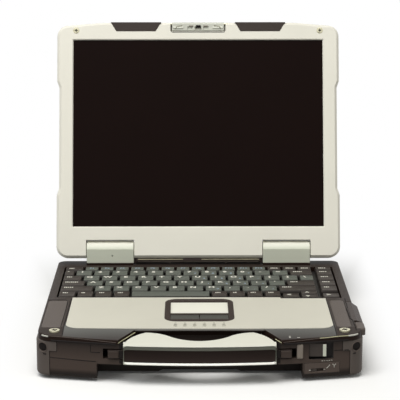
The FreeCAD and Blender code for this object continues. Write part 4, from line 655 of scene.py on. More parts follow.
tops = []
rims = []
walls = []
for name in ("wide", "deep"):
    foot = attribute(cap_tree, name)
    crown = inset(foot, "Taper")
    tops.append(maths(cap_tree, "DIVIDE", crown, foot))
    rims.append(maths(cap_tree, "DIVIDE", inset(crown, "Rim"), crown))
    walls.append(maths(cap_tree, "DIVIDE", inset(foot, "Wall"), foot))
shape, top = raise_top(cap_tree, given["Geometry"], None, given["Height"], tops)
sink = maths(cap_tree, "MULTIPLY", given["Dish"], -1.0)
shape = raise_top(cap_tree, shape, top, sink, rims)[0]
under = add_node(cap_tree, "GeometryNodeFlipFaces")
cap_tree.links.new(given["Geometry"], under.inputs["Mesh"])
hollow, ceiling = raise_top(cap_tree, under.outputs["Mesh"], None, None, walls)
rise = maths(cap_tree, "MULTIPLY", given["Cavity"], -1.0)
hollow = raise_top(cap_tree, hollow, ceiling, rise, ())[0]
print("cap shape:", len(cap_tree.nodes), "nodes")

# %% Cap tree's end
joined = add_node(cap_tree, "GeometryNodeJoinGeometry")
welded = add_node(cap_tree, "GeometryNodeMergeByDistance", {"Distance": MERGE_DISTANCE})
real = add_node(cap_tree, "GeometryNodeRealizeInstances")
pale = add_node(cap_tree, "GeometryNodeSetMaterial")
dark = add_node(cap_tree, "GeometryNodeSetMaterial")
is_dark = maths(cap_tree, "LESS_THAN", attribute(cap_tree, "tone"), 0.5)
cap_tree.links.new(shape, joined.inputs["Geometry"])
cap_tree.links.new(hollow, joined.inputs["Geometry"])
cap_tree.links.new(given["Pale"], pale.inputs["Material"])
cap_tree.links.new(given["Dark"], dark.inputs["Material"])
cap_tree.links.new(is_dark, dark.inputs["Selection"])
dressed = chain(cap_tree, joined.outputs["Geometry"], welded, real, pale, dark)
cap_tree.links.new(dressed, result.inputs["Geometry"])
print("cap tree:", len(cap_tree.nodes), "nodes")

# %% [markdown]
# ## Raising the caps
# Letter and digit keys are mid grey and the keys round them are nearly black. Each quad carries
# its size and its tone as face attributes, so that one tree serves every row. The evaluated
# result becomes a plain mesh, because an export drops modifiers and instances.

# %% Caps
CAP_TAPER = 0.0013
CAP_DISH = 0.00032
CAP_BEVEL = 0.00042
CAP_EDGE_DEGREES = 25
CAP_SOFT_DEGREES = 40
CAP_VALUES = {"Taper": CAP_TAPER, "Rim": 0.0008, "Dish": CAP_DISH, "Wall": 0.0017, "Cavity": 0.0023,
              "Pale": FINISHES["key_grey"], "Dark": FINISHES["key_dark"]}
DARK_KEYS = {
    "function_keys": [0, 13, 14, 15], "number_keys": [0, 13], "upper_keys": [0], "home_keys": [0, 12],
    "lower_keys": [0, 11], "bottom_keys": list(range(8)), "space_bar": [],
    "side_keys": list(range(5)), "arrow_keys": list(range(4)),
}


def key_feet(row):
    """A mesh with a flat quad under every key of a row, each with its size and tone."""
    corners = []
    for low, high in KEYS[row]:
        for x, y in ((low.x, low.y), (high.x, low.y), (high.x, high.y), (low.x, high.y)):
            corners.append((x, y, low.z))
    count = len(KEYS[row])
    mesh = bpy.data.meshes.new(row + "_feet")
    mesh.from_pydata(corners, [], [tuple(range(4 * index, 4 * index + 4)) for index in range(count)])
    spans = [high - low for low, high in KEYS[row]]
    tones = [0.0 if index in DARK_KEYS[row] else 1.0 for index in range(count)]
    layers = {"wide": [span.x for span in spans], "deep": [span.y for span in spans], "tone": tones}
    for name, values in layers.items():
        mesh.attributes.new(name, "FLOAT", "FACE").data.foreach_set("value", values)
    mesh.materials.append(FINISHES["key_grey"])
    return mesh, spans[0].z


def row_of_caps(row):
    """One piece with a cap on every key of a row."""
    feet, height = key_feet(row)
    holder = grown(feet, cap_tree, CAP_INPUTS, {"Height": height, **CAP_VALUES})
    soften = holder.modifiers.new("soften", "BEVEL")
    soften.width = CAP_BEVEL
    soften.segments = 2
    soften.limit_method = "ANGLE"
    soften.angle_limit = math.radians(CAP_EDGE_DEGREES)
    mesh = plain_mesh(holder, row + "_caps")
    soft_shading(mesh, CAP_SOFT_DEGREES)
    all_dark = len(DARK_KEYS[row]) == len(KEYS[row])
    return add_piece(row + "_caps", mesh, row, "key_dark" if all_dark else "key_grey")


for row in ROWS:
    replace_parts(row_of_caps(row), row)

# %% [markdown]
# ## Rubber domes
# A rubber dome under each key pushes it back up, and folds as the key goes down. The domes are
# divided by the row that presses them, and each row's set gets a mesh of its own. The two domes
# under the touchpad's buttons stay as they are.


def domes_under(row):
    """The domes below one row's keys, or below no key where no row is given."""
    rows = [row] if row else ROWS
    boxes = [box for name in rows for box in KEYS[name]]
    work = merged("rubber_domes")
    spare = []
    for vert in work.verts:
        covered = any(low.x < vert.co.x < high.x and low.y < vert.co.y < high.y for low, high in boxes)
        if covered != bool(row):
            spare.append(vert)
    bmesh.ops.delete(work, geom=spare, context="VERTS")
    mesh = mesh_from(work, (row or "button") + "_domes")
    soft_shading(mesh)
    return add_piece(mesh.name, mesh, "base", "rubber", "rubber")


dome_sets = [domes_under(row) for row in ROWS + [None]]
for row, domes in zip(ROWS, dome_sets):
    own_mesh(domes)
for domes in dome_sets:
    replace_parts(domes, "rubber_domes")

# %% [markdown]
# ## Legends
# Letters and digits are printed white near the rear edge of each cap. They are text made into
# thin meshes, a hair above the dished top. Keys that carry a word on a real keyboard get a row of
# small blocks, which reads as small print. Some keys have a second, pale blue digit at the right.
# An image texture could print them too, but meshes stay sharp and need no picture file.

# %% Legend helpers
LEGEND_LIFT = 0.00003
WORD_TALL = 0.0029
WORD_STEP = 0.0020
WORD_WIDTHS = [0.0013, 0.0017, 0.0011, 0.0015]


def glyph(text, tall, bold):
    """A flat mesh of a short text, with its middle at the origin."""
    curve = bpy.data.curves.new("glyph", "FONT")
    curve.body = text
    curve.size = tall
    curve.align_x = "CENTER"
    curve.align_y = "CENTER"
    curve.offset = bold
    curve.extrude = LEGEND_LIFT
    curve.resolution_u = 3
    holder = bpy.data.objects.new("glyph", curve)
    scene.collection.objects.link(holder)
    mesh = plain_mesh(holder, "glyph")
    bpy.data.curves.remove(curve)
    return mesh


def add_glyph(work, text, middle, tall, bold, material):
    """A text on a key's top, with its material."""
    mesh = glyph(text, tall, bold)
    mesh.transform(Matrix.Translation(middle))
    before = len(work.faces)
    work.from_mesh(mesh)
    work.faces.ensure_lookup_table()
    for face in work.faces[before:]:
        face.material_index = material
    bpy.data.meshes.remove(mesh)


def add_block(work, middle, size):
    """A box with its middle at a point."""
    bmesh.ops.create_cube(work, size=1.0, matrix=Matrix.Translation(middle) @ Matrix.Diagonal((*size, 1.0)))


def add_word(work, middle, count):
    """A row of small blocks that reads as a printed word."""
    for index in range(count):
        across = (index - (count - 1) / 2) * WORD_STEP
        size = (WORD_WIDTHS[index % len(WORD_WIDTHS)], WORD_TALL, 2 * LEGEND_LIFT)
        add_block(work, middle + Vector((across, 0, 0)), size)


# %% Legend texts
PRINTED = {
    "function_keys": ["#3"] + [f"F{number}" for number in range(1, 13)] + ["#4", "#4", "#4"],
    "number_keys": ["`"] + list("1234567890-=") + ["#5"],
    "upper_keys": ["#3"] + list("QWERTYUIOP[]\\"),
    "home_keys": ["#7"] + list("ASDFGHJKL;'") + ["#4"],
    "lower_keys": ["#5"] + list("ZXCVBNM,./") + ["#5"],
    "bottom_keys": ["#3", "#2", "#3", "#3", "#3", "#2", "#3", "#3"],
    "space_bar": [""],
    "side_keys": ["#4", "#4", "#4", "#4", "#3"],
    "arrow_keys": ["^", "<", "v", ">"],
}
SECOND = {
    "number_keys": {7: "7", 8: "8", 9: "9", 10: "*"},
    "upper_keys": {7: "4", 8: "5", 9: "6", 10: "-"},
    "home_keys": {7: "1", 8: "2", 9: "3", 10: "+"},
    "lower_keys": {7: "0", 9: ".", 10: "/"},
}
print("keys with a second digit:", sum(len(digits) for digits in SECOND.values()))

# %% Legends
LETTER = {"tall": 0.0080, "bold": 0.00034, "material": 0}
FUNCTION = {"tall": 0.0052, "bold": 0.00012, "material": 1}
DIGIT = {"tall": 0.0050, "bold": 0.0001, "material": 1}
LETTER_ACROSS = 0.36
LETTER_BACK = 0.0046
FUNCTION_ACROSS = 0.5
FUNCTION_BACK = 0.0040
DIGIT_ACROSS = 0.78
DIGIT_DEEP = 0.62
WORD_INSET = 0.0028
WORD_HALF = 0.0009
WORD_BACK = 0.0042
for row in ROWS:
    work = bmesh.new()
    for index, (low, high) in enumerate(KEYS[row]):
        text = PRINTED[row][index]
        second = SECOND.get(row, {}).get(index)
        wide = high.x - low.x - 2 * CAP_TAPER
        deep = high.y - low.y - 2 * CAP_TAPER
        corner = Vector((low.x + CAP_TAPER, high.y - CAP_TAPER, high.z - CAP_DISH + LEGEND_LIFT))
        if text.startswith("#"):
            count = int(text[1:])
            add_word(work, corner + Vector((WORD_INSET + WORD_HALF * count, -WORD_BACK, 0)), count)
        elif row == "function_keys":
            add_glyph(work, text, corner + Vector((FUNCTION_ACROSS * wide, -FUNCTION_BACK, 0)), **FUNCTION)
        elif text:
            add_glyph(work, text, corner + Vector((LETTER_ACROSS * wide, -LETTER_BACK, 0)), **LETTER)
        if second:
            add_glyph(work, second, corner + Vector((DIGIT_ACROSS * wide, -DIGIT_DEEP * deep, 0)), **DIGIT)
    printed = len(work.faces)
    mesh = mesh_from(work, row + "_legends")
    if printed:
        add_piece(row + "_legends", mesh, row, "touch_white", "legend_white", "legend_blue")

# %% [markdown]
# ## Strokes on the surface
# Seams between mouldings, printed marks and thin trim follow surfaces that bow and slope. Each is
# a thin round line through points that a ray finds on the solids, half sunk in the surface, so it
# sits right from any side. Curves with a bevel make such lines, and they end as plain meshes.

# %% Surface points
BASE_SKIN = ["bottom_case", "top_deck", "corner_guard_left", "corner_guard_right", "radio_plate", "palm_rest",
             "wrist_pad_left", "wrist_pad_right", "battery_door", "card_door", "drive_door"]
FROM_FRONT = Vector((0, 1, 0))
FROM_ABOVE = Vector((0, 0, -1))
RAY_START = 0.3


def touch(start, way, skin):
    """The first point that a ray meets on some solids."""
    best = None
    for name in skin:
        hit, place = nodes[name].ray_cast(start, way)[:2]
        if hit and (best is None or (place - start).length < (best - start).length):
            best = place
    if best is None:
        raise ValueError(f"no surface at {tuple(start)}")
    return best


def front_of(skin, start=0.0, proud=0.0):
    """A function that finds points on the front of some solids, from millimetres."""
    def find(x, z):
        return touch(Vector((x / 1000, start, z / 1000)), FROM_FRONT, skin) - proud * FROM_FRONT
    return find


def on_top(x, y):
    """A point on the base's upper side, from millimetres."""
    return touch(Vector((x / 1000, y / 1000, RAY_START)), FROM_ABOVE, BASE_SKIN)


on_front = front_of(BASE_SKIN, -RAY_START)

# %% Stroke helpers
BROAD_STROKE = 0.003


def drawn(find, runs, step=4.0):
    """Points on the surface along each run of straight lines between corners."""
    paths = []
    for corners in runs:
        points = [find(*corners[0])]
        for first, last in zip(corners, corners[1:]):
            span = math.hypot(last[0] - first[0], last[1] - first[1])
            count = max(1, round(span / step))
            for index in range(1, count + 1):
                share = index / count
                points.append(find(*[a + (b - a) * share for a, b in zip(first, last)]))
        paths.append(points)
    return paths


def strokes(name, body, slot, finish_name, paths, radius):
    """One piece of thin round lines through points."""
    curve = bpy.data.curves.new(name, "CURVE")
    curve.dimensions = "3D"
    curve.bevel_depth = radius
    curve.bevel_resolution = 1 if radius < BROAD_STROKE else 6
    curve.use_fill_caps = True
    for points in paths:
        spline = curve.splines.new("POLY")
        spline.points.add(len(points) - 1)
        for target, point in zip(spline.points, points):
            target.co = (*point, 1.0)
    holder = bpy.data.objects.new(name + "_curve", curve)
    scene.collection.objects.link(holder)
    return add_piece(name, plain_mesh(holder, name), body, slot, finish_name)


# %% [markdown]
# ## Seams of the base
# A dark joint runs round each wrist pad and along the frame of the palm rest. On the front, thin
# joints mark where covers meet the case, and a small slot sits below each guard's hole. Grooves
# cut into the solids would show the same, but lines this thin need no depth to be seen.

# %% Base seams
deck_runs = [
    [(-149.5, -22.5), (-132.5, -22.5), (-130.5, -25), (-129.8, -31), (-130.0, -70), (-130.4, -114)],
    [(-126.8, -18), (-127.4, -68), (-127.55, -136)],
    [(126.2, -20.5), (126.5, -92), (127.15, -136)],
    [(145.2, -18.6), (145.0, -49.5), (143.5, -54.6), (144.0, -89), (145.8, -92), (146.4, -124)],
]
strokes("deck_seams", "base", "black_plastic", "seam_and_shade_black", drawn(on_top, deck_runs), 0.00045)
front_runs = [
    [(-101, 36), (-101, 29), (-88, 28.8)],
    [(-139.5, 21.5), (-96, 20)],
    [(124.5, 28.5), (138.5, 28.5)],
    [(-139.5, 6.6), (-97, 6.6)],
    [(97, 6.6), (139.5, 6.6)],
]
strokes("front_seams", "base", "black_case", "seam_and_shade_black", drawn(on_front, front_runs), 0.00035)
slot_runs = [[(-145.5, 24.6), (-142.8, 24.6)], [(142.8, 24.6), (145.5, 24.6)]]
strokes("guard_slots", "base", "black_guard", "seam_and_shade_black", drawn(on_front, slot_runs, 1.0), 0.0006)

# %% [markdown]
# ## Guard holes
# Each corner guard has a round blind hole that leans towards the middle. A black disc of painted
# shade covers its inner half, because so short a hole still catches light, and a low ring stands
# round its mouth. Both are strokes: a short thick one makes the painted shade, and a closed thin
# one makes the ring.

# %% Guard holes
HOLE_LEAN = math.radians(14)
HOLE_PLACE = Vector((0.1464, -0.1328, 0.0308))
HOLE_RADIUS = 0.00415
HOLE_STEPS = 24
HOLE_RAY = 0.05
HOLE_SHADE_OUT = 0.0022
HOLE_SHADE_IN = 0.0004
RING_RADIUS = 0.0047
hole_shade_paths = []
ring_paths = []
for side, guard in ((-1, "corner_guard_left"), (1, "corner_guard_right")):
    inward = Vector((-side * math.sin(HOLE_LEAN), math.cos(HOLE_LEAN), 0))
    across = Vector((math.cos(HOLE_LEAN), side * math.sin(HOLE_LEAN), 0))
    start = Vector((side * HOLE_PLACE.x, HOLE_PLACE.y, HOLE_PLACE.z)) - HOLE_RAY * inward
    ring = []
    for step in range(HOLE_STEPS + 1):
        angle = 2 * math.pi * step / HOLE_STEPS
        away = across * math.cos(angle) + Vector((0, 0, math.sin(angle)))
        ring.append(touch(start + RING_RADIUS * away, inward, [guard]))
    ring_paths.append(ring)
    depth = touch(start, inward, [guard])
    hole_shade_paths.append([depth - HOLE_SHADE_OUT * inward, depth + HOLE_SHADE_IN * inward])
strokes("guard_rings", "base", "black_guard", "plate_brown", ring_paths, 0.0004)
# Painted shade: a black disc deep in each hole.
strokes("guard_hole_shade", "base", "black_guard", "seam_and_shade_black", hole_shade_paths, HOLE_RADIUS)

# %% [markdown]
# ## Marks
# Six status marks sit below the touchpad and two more near the front edge. The small plate at
# the right has plain signs for its switch: a slanted bar, a forked sign and short lines. Strokes
# carry them rather than a picture, because they follow the bowed surfaces by themselves.

# %% Printed marks
STATUS_X = [-22.9, -13.7, -4.4, 4.8, 13.8, 23.1]
status_runs = []
for x in STATUS_X:
    status_runs.append([(x - 0.9, -103.6), (x + 0.9, -103.6)])
    status_runs.append([(x - 1.7, -111.2), (x + 1.5, -111.2)])
strokes("status_marks", "base", "status_clear", "print_grey", drawn(on_top, status_runs, 1.0), 0.0003)
deck_marks = [[(82.4, -142), (84.2, -142)], [(82.4, -139), (84.2, -139)], [(90, -142), (92.6, -142)]]
strokes("deck_marks", "base", "status_clear", "pale_print_and_highlight", drawn(on_top, deck_marks, 1.0), 0.0004)
signs = [[(117.8, 11.8), (121, 14.9)], [(123.4, 15.6), (125, 14), (126.6, 15.6)], [(125, 14), (125, 12.2)],
         [(101.2, 10.8), (103, 10.8)], [(115.0, 10.8), (116.6, 10.8)]]
signs += [[(113 + 2.2 * index, 19.3), (114.4 + 2.2 * index, 19.3)] for index in range(5)]
strokes("switch_signs", "base", "status_clear", "pale_print_and_highlight", drawn(on_front, signs, 1.0), 0.00035)

# %% [markdown]
# ## Handle
# The front of the handle is one long scoop for the fingers. Its upper half is silver painted
# darker as painted shade, since it curves under, and a dark grip lines its lower half down to a
# lip painted pale as a painted highlight. The solid has a plain round groove there, so a copy of
# the solid is cut with a longer, tapered scoop that follows the bow of the front, and a thin strip
# lines it. A Boolean modifier makes the cut, because it finds the rim where the scoop meets the
# handle's curved faces.

# %% Scoop shape
SCOOP_TOP = 0.0378
SCOOP_LOW = 0.0204
SCOOP_DEPTH = 0.0045
SCOOP_END = 0.0712
SCOOP_ROUND = 0.005
SCOOP_LEAST = 0.03
SCOOP_BLUNT = 0.55
SCOOP_STEPS = 96
RING_STEPS = 32
BOW = 0.0045
handle_low, handle_high = island_boxes("carry_handle")[0]
bow_radius = (handle_high.x ** 2 + BOW ** 2) / (2 * BOW)
scoop_middle = (SCOOP_TOP + SCOOP_LOW) / 2
scoop_half = (SCOOP_TOP - SCOOP_LOW) / 2


def scoop_point(x, angle, extra):
    """A point of the scoop's oval at one place along the handle, moved in or out by a little."""
    front = handle_low.y + bow_radius - math.sqrt(bow_radius ** 2 - x ** 2)
    beyond = max(0.0, abs(x) - (SCOOP_END - SCOOP_ROUND)) / SCOOP_ROUND
    share = max(SCOOP_LEAST, math.sqrt(max(0.0, 1 - beyond ** 2)))
    depth = SCOOP_DEPTH * share + extra
    half = scoop_half * (SCOOP_BLUNT + (1 - SCOOP_BLUNT) * share) + extra
    return Vector((x, front + depth * math.cos(angle), scoop_middle + half * math.sin(angle)))


def tube(name, rings):
    """A closed mesh through rings of points."""
    work = bmesh.new()
    loops = [[work.verts.new(point) for point in ring] for ring in rings]
    size = len(loops[0])
    for first, last in zip(loops, loops[1:]):
        for index in range(size):
            after = (index + 1) % size
            work.faces.new((first[index], first[after], last[after], last[index]))
    work.faces.new(loops[0])
    work.faces.new(loops[-1])
    bmesh.ops.recalc_face_normals(work, faces=work.faces)
    return mesh_from(work, name)


print("handle:", [round(2000 * handle_high.x), round(1000 * (handle_high.z - handle_low.z))], "mm")

# %% Handle shell
LIP_SHARE = 0.82
ends = [SCOOP_END * math.sin(math.pi / 2 * (2 * step / SCOOP_STEPS - 1)) for step in range(SCOOP_STEPS + 1)]
turns = [2 * math.pi * step / RING_STEPS for step in range(RING_STEPS)]
cutter_mesh = tube("scoop", [[scoop_point(x, turn, 0) for turn in turns] for x in ends])
cutter = bpy.data.objects.new("scoop", cutter_mesh)
holder = bpy.data.objects.new("handle_copy", mesh_from(merged("carry_handle"), "handle_copy"))
shell_finishes = ("silver_handle", "scoop_shade_silver", "lip_highlight")
for item in (cutter, holder):
    item.data.materials.clear()
    for finish_name in shell_finishes:
        item.data.materials.append(FINISHES[finish_name])
    scene.collection.objects.link(item)
# The scoop is painted darker silver as painted shade, and its lowest strip is the lip's painted highlight.
for polygon in cutter_mesh.polygons:
    polygon.material_index = 2 if polygon.center.z < scoop_middle - LIP_SHARE * scoop_half else 1
scoop = holder.modifiers.new("scoop", "BOOLEAN")
scoop.operation = "DIFFERENCE"
scoop.solver = "EXACT"
scoop.object = cutter
shell = plain_mesh(holder, "handle_shell")
bpy.data.objects.remove(cutter)
shell.shade_flat()
for polygon in shell.polygons:
    polygon.use_smooth = polygon.material_index > 0
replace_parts(add_piece("handle_shell", shell, "handle", "silver_panel", *shell_finishes), "carry_handle")

# %% Grip lining
LINING_TOP = math.radians(28)
LINING_LOW = math.radians(-58)
LINING_STEPS = 14
LINING_PROUD = 0.0004
LINING_BACK = 0.0006
LINING_SKIP = 6
strip = [LINING_TOP + (LINING_LOW - LINING_TOP) * step / LINING_STEPS for step in range(LINING_STEPS + 1)]
rings = []
for x in ends[LINING_SKIP:-LINING_SKIP]:
    ring = [scoop_point(x, angle, -LINING_PROUD) for angle in strip]
    ring += [scoop_point(x, angle, LINING_BACK) for angle in reversed(strip)]
    rings.append(ring)
lining = tube("grip_lining", rings)
soft_shading(lining)
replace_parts(add_piece("grip_lining", lining, "handle", "grip_black", "grip_black"), "handle_grip")

# %% [markdown]
# ## Palm rest and notch
# The silver panel reaches a little further forward than its solid, up to a narrow black lip that
# hangs over the handle. The panel is the solid's own mesh with its front edge drawn forward, which
# leaves the rest of its shape alone. The lip is a wedge with a rounded nose, made like the lining.

# %% Palm panel
PALM_REACH = 0.0058
PALM_SKEW = 0.012
PALM_FIXED = -0.100
palm = mesh_from(merged("palm_rest"), "palm_panel")
for vert in palm.vertices:
    if vert.co.y < PALM_FIXED:
        vert.co.y -= PALM_REACH + PALM_SKEW * max(0.0, vert.co.x)
palm.shade_flat()
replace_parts(add_piece("palm_panel", palm, "base", "silver_panel", "silver_panel"), "palm_rest")
BASE_SKIN.remove("palm_rest")

# %% Notch lip
LIP_HALF = 0.0612
LIP_CORNER = 0.0008
LIP_REAR = -0.1170
LIP_FRONT = -0.1236
LIP_UNDER = 0.0428
LIP_NOSE = 0.0443
LIP_TOP = 0.04496
NOSE_BACK = 0.0012
NOSE_ROUND = 0.0006
NOSE_DROP = 0.0005
NOSE_SLOPE = 0.0007
lip_inner = LIP_HALF - LIP_CORNER
lip_rings = []
for x, back in ((-LIP_HALF, NOSE_BACK), (-lip_inner, 0), (lip_inner, 0), (LIP_HALF, NOSE_BACK)):
    nose = LIP_FRONT + back
    profile = [(LIP_REAR, LIP_UNDER), (nose + NOSE_ROUND, LIP_UNDER), (nose, LIP_UNDER + NOSE_ROUND),
               (nose, LIP_NOSE - NOSE_DROP), (nose + NOSE_SLOPE, LIP_NOSE), (LIP_REAR, LIP_TOP)]
    lip_rings.append([Vector((x, y, z)) for y, z in profile])
add_piece("notch_lip", tube("notch_lip", lip_rings), "base", "black_plastic", "deck_black")

# %% [markdown]
# ## Small blocks
# Rounded pads cover the handle's guide blocks, and black blocks of painted shade fill the gaps
# beside the handle's ends, where shade falls. Collars close the ends of the hinge bar, a ridge
# stands beside the power slider, painted pale as a painted highlight, and a silver stripe marks
# the slider. Each is a box with bevelled edges on the piece it joins, which is enough for blocks
# of a few millimetres.

# %% Small blocks
def blocks(name, body, slot, finish_name, spans, bevel):
    """One piece of boxes with bevelled edges, from spans in millimetres."""
    work = bmesh.new()
    for low, high in spans:
        middle = Vector([(a + b) / 2000 for a, b in zip(low, high)])
        add_block(work, middle, [abs(b - a) / 1000 for a, b in zip(low, high)])
    bmesh.ops.bevel(work, geom=work.edges[:], offset=bevel / 1000, segments=2, affect="EDGES", profile=0.5)
    bmesh.ops.recalc_face_normals(work, faces=work.faces)
    return add_piece(name, mesh_from(work, name), body, slot, finish_name)


def both_sides(*spans):
    """Spans on the right, and the same mirrored to the left."""
    mirrored = [((-high[0], low[1], low[2]), (-low[0], high[1], high[2])) for low, high in spans]
    return list(spans) + mirrored


ear_pads = both_sides(((74.6, -148.1, 24.4), (84.9, -146.4, 31.6)))
# Painted shade: black blocks in the gaps beside the handle's ends.
ear_gap_shade = both_sides(((70.6, -147.3, 24.1), (74.5, -146.4, 31.9)))
case_gap_shade = both_sides(((71.8, -147.0, 33.2), (74.4, -145.5, 38.8)),
                       ((71.8, -146.9, 19.5), (74.4, -145.0, 22.8)))
bar_collars = both_sides(((66.3, 119.2, 45.8), (69.0, 130.2, 52.0)))
wall = on_front(92.5, 30).y * 1000
# The ridge is a real shape; its pale colour is a painted highlight on its curved wall.
case_ridge_highlight = [((89.6, wall - 1.3, 22.5), (95.6, wall + 1.5, 36.8))]
slider_stripe = [((114.0, -141.8, 24.3), (117.1, -140.9, 35.7))]
blocks("ear_pads", "handle", "black_plastic", "black_case", ear_pads, 1.1)
# The gap blocks are near black as painted shade.
blocks("ear_gap_shade", "handle", "black_plastic", "seam_and_shade_black", ear_gap_shade, 0.2)
blocks("case_gap_shade", "base", "black_case", "seam_and_shade_black", case_gap_shade, 0.2)
blocks("bar_collars", "lid", "black_plastic", "black_plastic", bar_collars, 0.4)
blocks("case_ridge_highlight", "base", "black_case", "bar_strip", case_ridge_highlight, 1.25)
blocks("slider_stripe", "power_switch", "silver_panel", "silver_cover", slider_stripe, 0.25)

# %% [markdown]
# ## Screw recesses
# Each screw head has a dark cross where the driver fits, painted as the shade in its recess. One
# Geometry Nodes tree lays a cross on every point of a mesh: the points are the middles of the
# heads, and each carries the turn that lays the cross flat on its head. The points come from the
# solids, so a cross can't miss its screw, and one mesh is made for each set of screws.

# %% Cross tree
CROSS_SIZES = ("Length", "Width", "Depth")
cross_tree, CROSS_INPUTS = new_tree("screw_crosses", CROSS_SIZES, ("Finish",))
given = cross_tree.nodes.new("NodeGroupInput").outputs
result = cross_tree.nodes.new("NodeGroupOutput")
joined = add_node(cross_tree, "GeometryNodeJoinGeometry")
for order in (("Length", "Width"), ("Width", "Length")):
    size = add_node(cross_tree, "ShaderNodeCombineXYZ")
    for axis, name in zip("XYZ", order + ("Depth",)):
        cross_tree.links.new(given[name], size.inputs[axis])
    bar = add_node(cross_tree, "GeometryNodeMeshCube")
    cross_tree.links.new(size.outputs[0], bar.inputs["Size"])
    cross_tree.links.new(bar.outputs["Mesh"], joined.inputs["Geometry"])
laid = add_node(cross_tree, "GeometryNodeInstanceOnPoints")
real = add_node(cross_tree, "GeometryNodeRealizeInstances")
dress = add_node(cross_tree, "GeometryNodeSetMaterial")
cross_tree.links.new(given["Geometry"], laid.inputs["Points"])
cross_tree.links.new(joined.outputs["Geometry"], laid.inputs["Instance"])
cross_tree.links.new(attribute(cross_tree, "turn", "FLOAT_VECTOR"), laid.inputs["Rotation"])
cross_tree.links.new(given["Finish"], dress.inputs["Material"])
cross_tree.links.new(chain(cross_tree, laid.outputs["Instances"], real, dress), result.inputs["Geometry"])
print("cross tree:", len(cross_tree.nodes), "nodes")

# %% Crosses
LID_TILT = math.radians(16.5)
FACE_DEPTH = 2e-5
WIDE_CROSS = (0.0052, 0.0013, 0.0003)
SMALL_CROSS = (0.0036, 0.001, 0.0003)
DECK_TURN = Euler((0, 0, 0.5))
BEZEL_TURN = Euler((math.pi / 2 - LID_TILT, 0, 0))
BOTTOM_TURN = Euler((math.pi, 0, 0.4))


def head_middles(node, facing):
    """The middle of each screw's outer face."""
    middles = []
    for points in islands(node):
        reach = max(point.dot(facing) for point in points)
        face = [point for point in points if point.dot(facing) > reach - FACE_DEPTH]
        middles.append(sum(face, Vector()) / len(face))
    return sorted(middles, key=lambda middle: (round(middle.y, 4), middle.x))


def crosses(name, node, body, turn, sizes):
    """One piece with a cross on every screw of a node."""
    facing = Vector((0, 0, 1))
    facing.rotate(turn)
    middles = head_middles(node, facing)
    mesh = bpy.data.meshes.new(name + "_points")
    mesh.from_pydata(middles, [], [])
    turns = mesh.attributes.new("turn", "FLOAT_VECTOR", "POINT")
    turns.data.foreach_set("vector", list(turn) * len(middles))
    # Painted shade: the crosses are near black, for the shade in the driver recesses.
    values = dict(zip(CROSS_SIZES, sizes), Finish=FINISHES["seam_and_shade_black"])
    holder = grown(mesh, cross_tree, CROSS_INPUTS, values)
    return add_piece(name, plain_mesh(holder, name), body, "screw_steel", "seam_and_shade_black")


crosses("deck_crosses", "deck_screws", "base", DECK_TURN, WIDE_CROSS)
crosses("bezel_crosses", "bezel_screws", "lid", BEZEL_TURN, SMALL_CROSS)
crosses("bottom_crosses", "bottom_screws", "base", BOTTOM_TURN, SMALL_CROSS)

# %% [markdown]
# ## Edge lights
# Where the deck's slanted cut meets the handle its edge catches the light, and the deck's rim
# catches the light, most at its right; pale strokes paint these highlights. A dark band of painted
# shade runs below the rim, where the case steps back. The hinge bar between the covers has a
# painted highlight in two lengths, a dim painted highlight below it and two small bumps. Lamps
# alone would not show edges this narrow, so thin strokes draw them.

# %% Deck edges
NOTCH_REAR = Vector((0.0602, -0.1245, 0.0424))
NOTCH_FRONT = Vector((0.0754, -0.1469, 0.0389))
NOTCH_STEPS = 8
LEFT_REACH = 1.0
RIGHT_REACH = 0.35


def mirrored(run):
    """The same run on the left."""
    return [(-x, z) for x, z in run]


slants = []
for side, reach in ((-1, LEFT_REACH), (1, RIGHT_REACH)):
    front, rear = [Vector((side * point.x, point.y, point.z)) for point in (NOTCH_FRONT, NOTCH_REAR)]
    slants.append([front.lerp(rear, reach * step / NOTCH_STEPS) for step in range(NOTCH_STEPS + 1)])
# Painted highlight along the deck's slanted cut, stronger at the left.
strokes("notch_highlight", "base", "silver_panel", "pale_highlight", slants, 0.0004)
corner_lights = [[(-146.6, 42.2), (-144, 42.0), (-140.5, 41.8)], [(138, 42.2), (143, 42.4), (147.0, 42.6)]]
# Painted highlights where the deck's rounded front corners catch the light.
strokes("rim_lights", "base", "silver_panel", "pale_print_and_highlight", drawn(on_front, corner_lights, 1.0), 0.0008)
rim = [(77, 39.4), (92.3, 40.4), (110.9, 41.6), (129.7, 42.3), (140, 42.3)]
# Painted highlight along the deck's rim at the right.
strokes("rim_highlight", "base", "black_plastic", "pale_highlight", drawn(on_front, [rim[2:]], 3.0), 0.0004)
dim_rims = [rim[:3], mirrored(rim)]
# A dimmer painted highlight along the rest of the rim.
strokes("rim_highlight_dim", "base", "black_plastic", "plate_brown", drawn(on_front, dim_rims, 3.0), 0.0003)
gap = [(77.5, 37.7), (92, 38.1), (111, 38.3), (138, 38.4)]
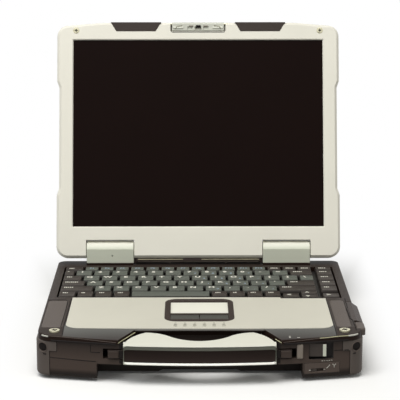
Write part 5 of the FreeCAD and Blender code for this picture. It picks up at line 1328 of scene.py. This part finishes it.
# Painted shade: a dark band below the deck's rim, where the case steps back.
strokes("deck_gap_shade", "base", "black_plastic", "seam_and_shade_black", drawn(on_front, [gap, mirrored(gap)], 3.0), 0.0009)

# %% Hinge bar
on_bar = front_of(["hinge_bar"], proud=0.0003)
strip_runs = [[(-65, 50.5), (-16.5, 50.5)], [(3.4, 50.5), (65, 50.5)]]
# Painted highlights along the hinge bar: a pale strip in two lengths and a dim line below it.
strokes("bar_highlights", "lid", "black_plastic", "pale_highlight", drawn(on_bar, strip_runs), 0.0004)
strokes("bar_dim_highlight", "lid", "black_plastic", "bar_strip", drawn(on_bar, [[(-65, 47.7), (65, 47.7)]]), 0.0003)
bumps = [[(-31.4, 46.2), (-29.6, 46.2)], [(28.7, 46.2), (30.5, 46.2)]]
strokes("bar_bumps", "lid", "black_plastic", "bar_strip", drawn(on_bar, bumps, 0.6), 0.0008)

# %% [markdown]
# ## Latch
# The flap has a dark window in its middle, a short mark on each side and a ridge near each end
# for the fingers. A dark gap shows where it lies in the lid's recess. All are strokes once more,
# since each is a line on a face that leans with the lid.

# %% Latch marks
on_latch = front_of(["latch_flap"])
on_lid = front_of(["lid_bezel", "lid_cover"])
window = [[(-2.2, 292.6), (2.8, 292.6)], [(-2.2, 293.8), (2.8, 293.8)]]
strokes("latch_window", "latch", "latch_metal", "seam_and_shade_black", drawn(on_latch, window, 1.0), 0.0011)
marks = [[(-9.8, 293.8), (-5.2, 293.8)], [(5.8, 293.8), (10.4, 293.8)]]
strokes("latch_marks", "latch", "latch_metal", "bar_strip", drawn(on_latch, marks, 1.0), 0.0007)
ridges = [[(-24.5, 291.2), (-22.5, 293.4), (-17, 294.2)], [(24.8, 291.2), (22.8, 293.4), (17.3, 294.2)]]
strokes("latch_ridges", "latch", "latch_metal", "print_grey", drawn(on_latch, ridges, 1.0), 0.0006)
gaps = [[(-28.9, 295.8), (-28.9, 287.6)], [(-28.4, 287.5), (28.4, 287.5)], [(28.9, 287.6), (28.9, 295.8)]]
strokes("latch_gap", "lid", "silver_lid", "seam_and_shade_black", drawn(on_lid, gaps, 2.0), 0.00045)
